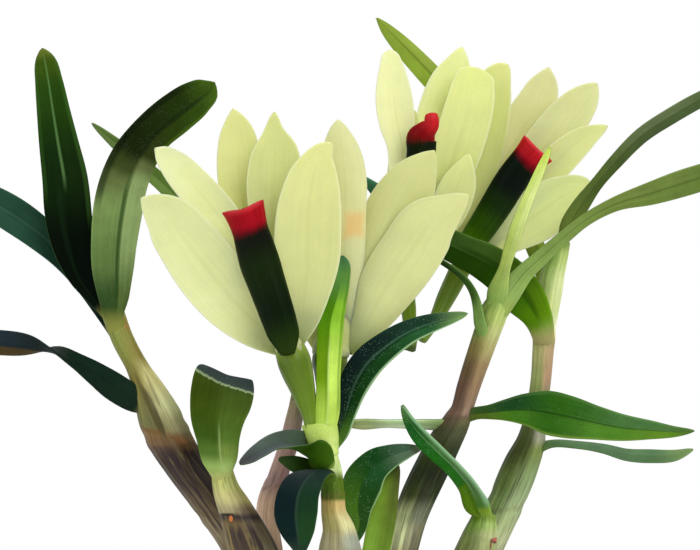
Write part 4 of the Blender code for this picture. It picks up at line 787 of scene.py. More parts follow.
# %% [markdown]
# Now the leaves themselves. They start inside the cane, as a leaf base clasps its stem, so the
# small gap that the plain solids keep doesn't show. One loop makes them all.
# %% The leaves
# Leaves: the cane, then x, y, z, half width and roll along the midrib, then the fold and the
# slot. Roll 0 shows the upper face to the viewer and 180 the underside.
LEAVES = {
    "leaf_left_tall": ("cane_left", [
        (-34.2, -3.9, 65.2, 0.9, 0), (-36.6, -3.4, 68.3, 1.2, 0), (-38.2, -3.1, 71, 1.9, 0),
        (-39.5, -3, 75.5, 2.9, 0), (-40.2, -3, 80, 3.3, 0), (-40.68, -3, 85, 3.2, 0),
        (-41.55, -3, 90, 2.78, 0), (-42.38, -3.2, 95, 2.3, 0), (-43.0, -3.4, 99, 1.92, 0),
        (-43.5, -3.6, 101.8, 1.5, 0), (-44.0, -3.8, 103.7, 0.6, 0)], 0.30, "leaf_dark"),
    "leaf_left_bent": ("cane_left", [
        (-33.6, -5.0, 64.6, 1.3, 0), (-33.8, -6.3, 68.3, 2.2, 0), (-34.0, -6.6, 72, 2.95, 0),
        (-33.85, -6.6, 76, 3.25, 0), (-33.4, -6.4, 80, 3.45, 0), (-32.6, -6.2, 84, 3.4, 0),
        (-31.0, -6, 87.95, 3.25, 0), (-28.35, -6, 91.6, 2.93, 0), (-24.95, -6, 94.5, 2.93, 0),
        (-21.8, -6.2, 96.8, 2.5, 0), (-20.1, -6.4, 98.0, 1.7, 0), (-19.3, -6.5, 98.8, 0.7, 0)],
        0.35, "leaf_dark"),
    "leaf_back_thin": ("cane_back_left", [
        (-8.0, 6, 52.5, 0.7, 0), (-7.4, 5.9, 55.5, 0.8, 0), (-8.1, 5.8, 58.5, 0.9, 0),
        (-10.5, 5.4, 63, 1.1, 0), (-14.5, 4.8, 69.5, 1.2, 0), (-20, 4.2, 77.3, 1.2, 0),
        (-26.7, 3.5, 84.3, 1.15, 0), (-32.5, 3, 89.3, 0.9, 0), (-36.9, 3, 93.0, 0.25, 0)],
        0.3, "leaf_bright"),
    "leaf_left_edge": ("cane_left", [
        (-33.3, -3.2, 62.8, 1.0, 0), (-35.4, -1.2, 66.3, 1.2, 0), (-37.9, -0.2, 70.2, 1.5, 0),
        (-40.9, 0.1, 73.9, 1.85, 0), (-44.5, 0, 77.3, 2.33, 0), (-49, -0.6, 80.45, 2.5, 0),
        (-54, -1.6, 83.15, 2.0, 0), (-58, -2.6, 84.7, 1.2, 0), (-60.6, -3.2, 85.2, 0.3, 0)],
        0.3, "leaf_dark"),
    "leaf_left_low": ("cane_left", [
        (-28.6, -4.2, 52.4, 1.5, 0), (-31.0, -4.6, 53.7, 1.9, 0), (-33.5, -4.9, 55.25, 1.98, 0),
        (-36.45, -5, 57.2, 1.68, 20), (-39.45, -5, 59.0, 1.5, 52), (-41.8, -5, 60.2, 1.8, 80),
        (-45, -5, 60.85, 2.1, 125), (-50, -5, 61.45, 1.95, 155), (-54, -5, 61.8, 1.7, 165),
        (-57.5, -5, 62.0, 0.6, 170)], 0.25, "leaf_dark"),
    "leaf_paddle": ("cane_left_short", [
        (-18.1, -11.4, 42.0, 1.4, 180), (-18.6, -12.0, 45, 2.5, 180), (-18.85, -12.4, 48, 3.05, 180),
        (-18.9, -12.7, 51, 3.85, 181), (-18.4, -12.5, 54.0, 4.45, 182), (-18.05, -11.4, 56.1, 4.3, 183),
        (-17.75, -9.6, 56.8, 3.7, 183), (-17.6, -7.6, 56.3, 2.7, 183), (-17.5, -6, 55.0, 0.8, 183)],
        -0.18, "leaf_dark"),
    "leaf_arch": ("cane_front", [
        (-3.0, -11.8, 45.6, 0.9, 0), (-1.3, -10.8, 49.0, 1.2, 0), (-0.4, -10.1, 52.4, 1.6, 0),
        (0.7, -10.3, 55.85, 2.1, 0), (2.65, -11.4, 59.0, 2.25, 0), (5.3, -12.0, 61.3, 2.0, 0),
        (8.45, -12.0, 63.25, 1.65, 0), (11.5, -11.6, 64.4, 1.3, 0), (14.5, -11.0, 65.2, 0.8, 0),
        (16.8, -10.4, 65.8, 0.25, 0)], 0.4, "leaf_dark"),
    "leaf_curl": ("cane_front", [
        (-3.3, -12.6, 43.9, 1.4, 165), (-4.7, -13.8, 45.1, 2.6, 150), (-6.3, -14.2, 45.75, 3.0, 120),
        (-8.3, -14.3, 46.85, 2.15, 80), (-10.5, -14.3, 47.1, 1.35, 62), (-12.6, -14.3, 46.1, 1.2, 54),
        (-14.3, -14.2, 45.1, 0.85, 48), (-15.8, -14.2, 44.35, 0.25, 45)], 0.8, "leaf_dark"),
    "leaf_small": ("cane_front", [
        (-2.7, -11.6, 43.0, 0.8, 150), (-4.6, -11.3, 43.3, 1.0, 145), (-6.8, -11.2, 43.9, 1.3, 140),
        (-8.5, -11.2, 44.5, 1.0, 140), (-10.2, -11.2, 45.1, 0.25, 140)], 0.2, "leaf_dark"),
    "leaf_cup": ("cane_front", [
        (-0.6, -11.2, 32.0, 0.9, 0), (1.1, -9.6, 35.2, 1.2, 0), (1.0, -9.0, 38.4, 2.3, 0),
        (1.6, -8.6, 41.5, 2.92, 0), (3.2, -7.8, 43.85, 2.42, 0), (5.4, -6.2, 45.2, 1.75, 0),
        (8.1, -3.8, 46.15, 1.0, 0), (10.3, -2.0, 46.6, 0.25, 0)], 0.3, "leaf_dark"),
    "leaf_low_upright": ("cane_front", [
        (-0.6, -8.6, 22.0, 1.2, 180), (2.2, -5.8, 26, 1.7, 180), (3.7, -5.0, 32, 1.9, 180),
        (4.7, -4.6, 37, 1.9, 180), (5.6, -4.4, 41, 1.4, 180), (6.5, -4.3, 43.3, 0.7, 180),
        (6.95, -4.3, 44.2, 0.25, 180)], 0.15, "leaf_bright"),
    "leaf_folded": ("cane_right_short", [
        (19.2, 2.4, 36.0, 1.2, 0), (18.2, 0.2, 38.6, 1.85, 0), (17.0, -2.0, 41.2, 1.5, 0),
        (14.7, -3.0, 44.0, 1.25, 0), (12.25, -4.1, 46.35, 1.4, 0), (10, -4.8, 48.6, 1.25, 0),
        (8.5, -5.0, 50.6, 0.85, 0), (7.4, -5.1, 52.7, 0.25, 0)], 0.5, "leaf_dark"),
    "leaf_lance": ("cane_right", [
        (15.5, 2.2, 50.5, 1.2, 0), (17.7, 1.3, 51.5, 0.9, 0), (20.0, -0.2, 51.75, 1.05, 0),
        (22.6, -1.4, 52.05, 1.65, 0), (25.5, -2.4, 52.15, 2.5, 0), (28.4, -3, 51.8, 3.25, 0),
        (31.2, -3.6, 51.2, 3.15, 0), (35, -4, 50.35, 2.55, 0), (39, -4.4, 49.6, 2.0, 0),
        (42.8, -4.8, 49.25, 1.42, 0), (46.3, -5, 48.95, 0.8, 0),
        (49.2, -5.2, 49, 0.2, 0)], 0.22, "leaf_bright"),
    "leaf_strap": ("cane_far_right", [
        (26.0, 10.2, 46.0, 1.1, -40), (28.4, 9.4, 47.05, 0.8, -60), (32.5, 8, 46.95, 0.75, -62),
        (36.5, 7.5, 46.35, 0.85, -50), (39.5, 7, 45.55, 0.95, -42), (43, 7, 45.35, 1.05, -38),
        (46.5, 7, 45.5, 0.85, -38), (49, 7, 46.4, 0.2, -38)], 0.2, "leaf_dark"),
    "leaf_pale": ("cane_right", [
        (14.4, 1.8, 49.6, 0.85, 0), (11.8, 1.2, 49.95, 0.85, 0), (8.5, 0.6, 50.05, 0.75, 0),
        (5, 0, 50.1, 0.65, 0), (2, -0.6, 50.05, 0.87, 0), (-0.6, -1.2, 50.1, 0.5, 0)], 0.2, "leaf_bright"),
    "leaf_sprout": ("cane_right", [
        (20.7, 1.6, 66.6, 1.5, 0), (21.2, 0.6, 69.2, 1.45, 0), (21.6, 0, 70.7, 1.1, 0),
        (22.0, -0.6, 72, 0.85, 0),
        (23.0, -1.2, 75.5, 0.9, 0), (24.1, -1.6, 78.8, 0.9, 0), (25.2, -1.8, 81.7, 0.8, 0),
        (26.4, -2, 84.5, 0.7, 0), (27.6, -2, 87.3, 0.55, 0), (28.6, -2, 89.6, 0.25, 0)],
        0.4, "leaf_bright"),
    "leaf_right_edge": ("cane_right", [
        (21.4, 1.8, 66.8, 1.7, 0), (23.0, 1.4, 69.2, 1.65, 0), (24.8, 1.6, 71.5, 1.3, 0),
        (27, 1.6, 73.55, 1.1, 0), (30, 1.0, 76.2, 0.95, 0), (34, 0, 79.4, 0.85, 0), (38, -1, 81.5, 1.0, 0),
        (43, -2, 83.0, 1.6, 0), (48, -3, 84.6, 1.9, 0), (53, -4, 86.1, 1.75, 0), (57.5, -5, 87.3, 1.1, 0),
        (60.8, -5.6, 88.0, 0.3, 0)], 0.35, "leaf_dark"),
    "leaf_right_high": ("cane_far_right", [
        (30.2, 9.4, 75.6, 0.8, 0), (31.3, 8.2, 78.5, 1.25, 0), (33, 7.4, 81.3, 1.2, 0),
        (35.2, 7, 84.3, 0.9, 0), (38, 6.6, 87.6, 1.0, 0), (41.7, 6.2, 91.3, 1.1, 0),
        (45.8, 5.8, 94.0, 1.15, 0), (50, 5.4, 96.4, 1.1, 0), (54, 5, 98.3, 0.85, 0),
        (57.4, 4.8, 99.8, 0.3, 0)], 0.3, "leaf_dark"),
    "leaf_wide": ("cane_far_right", [
        (27.6, 9.0, 62.6, 1.6, 0), (26.9, 7.6, 65.1, 2.1, 0), (25.0, 6.6, 68.2, 3.05, 0),
        (22.5, 6.0, 71.2, 3.15, 0), (19.5, 5.6, 73.3, 2.9, 0), (15.5, 4.6, 75.2, 2.4, 0),
        (11.5, 3.4, 77.2, 2.3, 0), (7.6, 2.0, 80.05, 2.1, 0), (4.4, 1.0, 82.95, 1.15, 0),
        (1.4, 0.4, 85.5, 0.3, 0)], 0.25, "leaf_dark"),
    "leaf_wire": ("cane_right", [
        (19.2, 1.4, 61.8, 1.1, 0), (18.6, 0.2, 64.6, 0.85, 0), (18.2, -0.4, 67.0, 0.65, 0),
        (17.6, -0.8, 68.9, 0.5, 0), (16.4, -1.0, 70.7, 0.42, 0), (14.9, -1.2, 72.0, 0.38, 0),
        (12.9, -1.4, 73.3, 0.34, 0), (10.8, -1.6, 74.3, 0.25, 0)], 0.5, "leaf_dark"),
    "leaf_top": ("cane_far_right", [
        (28.6, 10.6, 66.4, 0.9, 180), (28.4, 14.5, 68.6, 1.2, 180), (27.4, 18.6, 73, 1.5, 180),
        (24.4, 20.6, 80.5, 1.8, 180), (19.6, 20.4, 89.4, 1.9, 180), (15, 18.8, 96.1, 1.95, 180),
        (11.5, 17.2, 99.95, 1.9, 180), (9.6, 16.4, 101.95, 1.75, 180), (7.6, 15.6, 104.0, 1.5, 180),
        (5.5, 14.8, 106.15, 1.0, 180), (3.8, 14.2, 108.0, 0.3, 180)], 0.2, "leaf_bright"),
    "leaf_front_upright": ("cane_front", [
        (-3.7, -12.6, 47.6, 1.5, 180), (-3.25, -12.9, 52, 1.7, 180), (-3.15, -12.9, 57, 1.65, 180),
        (-3.0, -12.8, 61, 1.75, 180), (-2.72, -12.6, 65, 1.78, 180), (-1.95, -12.3, 67.8, 1.4, 180),
        (-1.25, -12.1, 70.5, 1.1, 180), (-0.95, -11.9, 73.0, 0.8, 180), (-1.1, -11.9, 74.1, 0.35, 180)],
        -0.45, "leaf_bright"),
}

# The drooping leaf comes towards the viewer, so its width direction is given instead of a roll.
DROOPING = [
    (-2.7, -12.3, 41.2, 1.2), (-4.2, -14.2, 42.7, 2.1), (-6.1, -16.5, 41.9, 2.8), (-7.25, -17.9, 39.8, 3.05),
    (-7.6, -18.4, 37, 3.1), (-7.4, -18.3, 34.5, 2.4), (-7.2, -18.0, 32.4, 1.2), (-7.2, -17.7, 31, 0.3)]
LEAF_THICK = 0.62
LEAF_STATIONS = 60
LEAF_WAVE = 0.05
SLIM_HALF = 1.4         # a leaf with smaller half widths needs fewer points across
BASE_DEPTHS = (3.0, 0.9)    # how far below its first row a leaf starts, and leaves its cane
CANE_STEPS = 200        # places along a cane at which its height is looked up


def cane_at(cane, height):
    """A cane's axis point with its radius, and its colour, at a height."""
    line = smooth(seen(CANES[cane]), CANE_STEPS, crowd=1.0)[0]
    place = [float(np.interp(height, line[:, 2], line[:, k])) for k in range(4)]
    hues = []
    for stops in CANE_LOOKS[cane][1:]:
        stops = np.array(stops, float)
        hues.append([np.interp(height, stops[:, 0], stops[:, k]) for k in (1, 2, 3)])
    return place, tuple(int(sum(pair) / 2) for pair in zip(*hues))


def make_leaf(name, cane, rows, slot, **shape):
    """One leaf that grows out of its cane: round like the cane at first, then flat."""
    rows = [tuple(row) + (0,) * (5 - len(row)) for row in rows]
    low, low_hue = cane_at(cane, rows[0][2] - BASE_DEPTHS[0])
    node, node_hue = cane_at(cane, rows[0][2] - BASE_DEPTHS[1])
    roll = rows[0][4]
    base = rows[0][3]
    stem = [(*low[:3], min(low[3] * 0.8, base), roll, 1),
            (*node[:3], min(node[3] * 0.95, base * 1.35), roll, 1)]
    round_share = [0.8, 0.3] + [0] * len(rows)
    blade = [(*row, part) for row, part in zip(rows, round_share)]
    sheet = sheet_points(stem + blade, LEAF_THICK, stations=LEAF_STATIONS, stem=2, **shape)
    leaf = piece(name + "_shape", *sheet, name, slot)
    leaf.data.materials.append(leaf_finish(name + "_finish", stem=[low_hue, node_hue], **LOOKS[name]))


for number, (name, (cane, rows, fold, slot)) in enumerate(LEAVES.items()):
    slim = max(row[3] for row in rows) < SLIM_HALF
    make_leaf(name, cane, seen(rows), slot, fold=fold, across=15 if slim else 21, wave=LEAF_WAVE,
              waves=2.0 + 0.4 * (number % 4))
make_leaf("leaf_drooping", "cane_front", seen(DROOPING), "leaf_dark", fold=0.2, first=(-1, 0.3, 0),
          across=25)
print("Leaves made:", len(LEAVES) + 1)

# %% [markdown]
# A cane is striped because its skin dries along its ribs. Its finish starts with its colours by
# height, the cane's own colour with painted light and shade across its two sides, and adds
# streaks, fine threads and rings from noise that is read in the cane's own places, so that the
# stripes follow each bend. Noise in plain space would cut across them. A few marks that catch the
# eye in the photograph have places of their own.
# %% The finish of a cane
def cane_finish(name, rows, rings, left, right, spots, sheath, marks):
    """Colours by height, streaks, thin rings, and old purple spots from one height to another.
    A mark is a single spot: its x and z, how wide and tall it is, how far it leans, a colour and
    a strength. Sheath is the colour of the dry leaf bases around the cane."""
    f = Finish(name, 0.5, 0.25)
    across, along, front = f.parts()
    tone = f.tone()
    x, y, z = f.point()
    low = rows[0][2]
    high = rows[-1][2]
    height = (z - low) / (high - low)
    sides = [f.ramp(height, [((h - low) / (high - low), *c) for h, *c in stops])
             for stops in (left, right)]
    drift = f.noise(f.vector(across * 1.5, along * 9.0, front * 1.5))
    # From the left list to the right one: the step between them is partly painted light and shade.
    shade = f.mix((across + (drift - 0.5) * 1.2).rise(-0.35, 0.45), *sides)
    streak = f.noise(f.vector(across * 4.5, along * 4.5, front * 4.5), detail=3.0, warp=0.5)
    thread = f.noise(f.vector(across * 13.0, along * 9.0, front * 13.0), detail=2.0, warp=0.3)
    blotch = f.noise(f.vector(x * 0.5, y * 0.5, z * 0.3), detail=4.0, rough=0.6)
    grain = f.noise(f.vector(x * 4.0, y * 4.0, z * 2.0), detail=3.0)
    plain = 1.0 - tone.rise(0.4, 0.6) * 0.7
    light = (streak - 0.5) * 0.81 + (thread - 0.5) * 0.81 + (blotch - 0.5) * 0.35
    light = light * plain + 1.0
    shade = f.shaded(shade, light + (grain - 0.5) * 0.2 * plain)
    old = z.rise(56.0, 44.0)
    pale = thread.rise(0.56, 0.72) * streak.rise(0.44, 0.6) * old
    shade = f.mix(pale * 0.3, shade, (186, 180, 136))
    dark = thread.rise(0.46, 0.34) * drift.rise(0.42, 0.58) * old
    shade = f.mix(dark * 0.5, shade, (56, 40, 28))
    first, last, strength = spots
    blob = f.noise(f.vector(across * 3.4, along * 3.6, front * 3.4 + 3.0), detail=2.0, warp=0.15)
    here = z.rise(first, first + 2.0) * z.rise(last, last - 2.0) * strength
    shade = f.mix(blob.rise(0.42, 0.56) * here, shade, f.shaded((50, 36, 40), light))
    shade = f.mix(blob.band(0.5, 0.03) * here * 0.35, shade, f.shaded((140, 128, 74), light))
    ring = None
    for ring_height, tilt, hue, power in rings:
        line = (z - across * tilt + (drift - 0.5) * 1.2 + (streak - 0.5) * 1.4).band(ring_height, 0.55)
        shade = f.mix(line * power * streak.rise(0.3, 0.6), shade, hue)
        ring = line if ring is None else ring.run("MAXIMUM", ring, line)
    for mark_x, mark_z, wide, tall, slope, hue, power in marks:
        aside = abs(x - mark_x - (z - mark_z) * slope) * (1 / wide)
        above = abs(z - mark_z) * (1 / tall)
        far = aside * aside + above * above + (streak - 0.5) * 0.8
        shade = f.mix(far.rise(1.3, 0.4) * front.rise(0.0, 0.2) * power, shade, hue)
    shade = f.mix(tone.rise(0.4, 0.6) * 0.4, shade, f.shaded(sheath, light))
    relief = (streak * 0.5 + thread * 0.35 + grain * 0.15 - ring * 0.3) * plain
    rough = 0.46 + (grain - 0.5) * 0.3 + ring * 0.15
    return f.done(shade, rough=rough, height=relief, depth=0.16, strength=0.6)


print("Cane finish ready")

# %% [markdown]
# A leaf that falls leaves its base behind, as a sheath around the cane that dries to paper and
# tears. It is a thin shell with an inner and an outer skin and a rim between them, and its upper
# edge is moved up and down at random. Solidify could thicken a single skin, but it would thicken
# the cane's tube too, which is in the same mesh.
# %% Dry sheaths
SHEATH_GAP = 0.1
SHEATH_THICK = 0.13
SHEATH_COLUMNS = 26
SHEATH_LEVELS = 30
AXIS_STEPS = 160


def sheath_points(rows, low, high, start, end, seed, slant, torn):
    """A dry leaf base wrapped around part of a stem, its upper edge torn. Angles are in degrees
    from the front, and grow towards the right."""
    columns = SHEATH_COLUMNS
    levels = SHEATH_LEVELS
    line = smooth(rows, AXIS_STEPS, crowd=1.0)[0]
    tangent, front = frames(line[:, :3], (0.0, -1.0, 0.02))
    angles = np.radians(np.linspace(start, end, columns))
    dice = random.Random(seed)
    tear = [dice.uniform(-1, 0.2) * torn + 0.6 * torn * math.sin(2.1 * k / 3 + seed)
            + slant * math.sin(angle) for k, angle in enumerate(angles)]
    points = [[], []]
    for level in range(levels):
        part = level / (levels - 1)
        for k, angle in enumerate(angles):
            height = low + (high + tear[k] * part - low) * part
            at = np.interp(height, line[:, 2], np.arange(AXIS_STEPS))
            i = int(min(at, AXIS_STEPS - 2))
            mid = line[i] + (line[i + 1] - line[i]) * (at - i)
            out = front[i] * math.cos(angle) + np.cross(tangent[i], front[i]) * math.sin(angle)
            curl = SHEATH_GAP + 0.4 * torn * part**3 + 0.05 * math.sin(3 * angle + 7 * part)
            root = mid[3] * 1.03 + curl * min(1, part * 8)
            points[0].append(mid[:3] + out * (root + SHEATH_THICK))
            points[1].append(mid[:3] + out * root)
    count = columns * levels
    faces = []
    for level in range(levels - 1):
        for k in range(columns - 1):
            a = level * columns + k
            faces.append((a, a + 1, a + columns + 1, a + columns))
            faces.append(tuple(count + n for n in (a, a + columns, a + columns + 1, a + 1)))
    rim = list(range(columns)) + [level * columns + columns - 1 for level in range(1, levels)]
    rim += [(levels - 1) * columns + k for k in range(columns - 2, -1, -1)]
    rim += [level * columns for level in range(levels - 2, 0, -1)]
    for a, b in zip(rim, rim[1:] + rim[:1]):
        faces.append((b, a, a + count, b + count))
    place = [(math.sin(a), (level + 1) / levels, math.cos(a))
             for level in range(levels) for a in angles] * 2
    return points[0] + points[1], faces, place


# Which canes carry a sheath: its lower and upper height, the angles it covers, a number for its
# random edge, how much that edge slants to the right and how much it is torn. Then its colour.
SHEATHS = {
    "cane_front": [(45.6, 50.4, -120, 140, 7, -0.8, 0.1)],
    "cane_right": [(24.0, 29.6, -130, 20, 9, 0, 0.7)],
    "cane_far_right": [(25.0, 29.8, -20, 140, 11, 0, 0.7)],
}
PAPER_HUE = (206, 204, 160)
SHEATH_HUES = {"cane_front": (190, 218, 96), "cane_right": (190, 184, 140),
               "cane_far_right": (196, 200, 170)}
print("Canes with a sheath:", len(SHEATHS))

# %% [markdown]
# Each cane is one mesh: a ribbed tube, ringed at its nodes, with its sheaths joined to it. The
# tone attribute is 0 on the tube and 1 on the sheaths, so one finish serves both.
# %% The canes
CANE_SIDES = 48
CANE_STATIONS = 150
CANE_RIBS = 11
RIB_DEPTH = 0.035
NODE_DEPTH = 0.03
PLAIN_RING = (0.3, (84, 62, 40), 0.3)

# Old spots on each cane: from which height to which, and how strong
CANE_SPOTS = {
    "cane_left": (34, 47.5, 0.85), "cane_left_short": (14, 37.0, 0.85), "cane_back_left": (14, 34, 0.3),
    "cane_front": (14, 33, 0.35), "cane_right": (14, 36, 0.4), "cane_far_right": (14, 33, 0.4),
    "cane_right_short": (12, 26, 0.4), "cane_back_arch": (14, 30, 0.3),
}
# Single marks: x, z, half width, half height, lean, colour and strength
CANE_MARKS = {
    "cane_left": [
        (-32.0, 64.6, 0.4, 1.3, -0.44, (186, 128, 74), 0.6),
        (-24.0, 47.9, 1.0, 0.6, -0.5, (164, 108, 66), 0.5),
        (-27.9, 52.0, 0.6, 3.6, -0.44, (70, 62, 26), 0.75),
        (-29.0, 53.8, 0.35, 3.8, -0.44, (88, 82, 36), 0.7),
        (-28.0, 55.0, 0.3, 2.8, -0.44, (90, 88, 40), 0.45),
        (-27.0, 50.6, 0.3, 2.0, -0.44, (76, 66, 34), 0.5)],
    "cane_left_short": [
        (-17.3, 37.5, 1.2, 0.22, -0.5, (34, 22, 18), 0.9),
        (-16.8, 36.95, 0.3, 0.45, 0.0, (206, 116, 54), 0.9),
        (-19.0, 35.0, 0.2, 2.2, -0.3, (176, 132, 66), 0.6)],
    "cane_right_short": [
        (20.9, 33.3, 0.95, 0.45, 0.0, (96, 30, 24), 0.9),
        (21.0, 33.45, 0.7, 0.28, 0.0, (196, 96, 84), 0.9),
        (20.1, 32.7, 0.16, 0.6, 0.0, (120, 40, 30), 0.8)],
}


def share_at(rows, height):
    """The share of a stem's length at which it reaches a height."""
    line, share = smooth(rows, CANE_STEPS, crowd=1.0)
    return float(np.interp(height, line[:, 2], share))


for name, rows in CANES.items():
    rings, left, right = CANE_LOOKS[name]
    rings = [ring if isinstance(ring, tuple) else (ring, *PLAIN_RING) for ring in rings]
    rows = seen(rows)
    parts = [tube_points(rows, sides=CANE_SIDES, stations=CANE_STATIONS, ribs=CANE_RIBS,
                         rib_depth=RIB_DEPTH, nodes=[share_at(rows, ring[0]) for ring in rings],
                         node_depth=NODE_DEPTH, cap=0.75)]
    parts += [sheath_points(rows, *sheath) for sheath in SHEATHS.get(name, ())]
    points, faces, place, tone = joined(parts)
    cane = piece(name + "_shape", points, faces, place, name, "cane", [min(t, 1) for t in tone])
    cane.data.materials.append(cane_finish(
        name + "_finish", rows, rings, left, right, CANE_SPOTS[name],
        SHEATH_HUES.get(name, PAPER_HUE), CANE_MARKS.get(name, ())))
print("Canes made:", len(CANES))

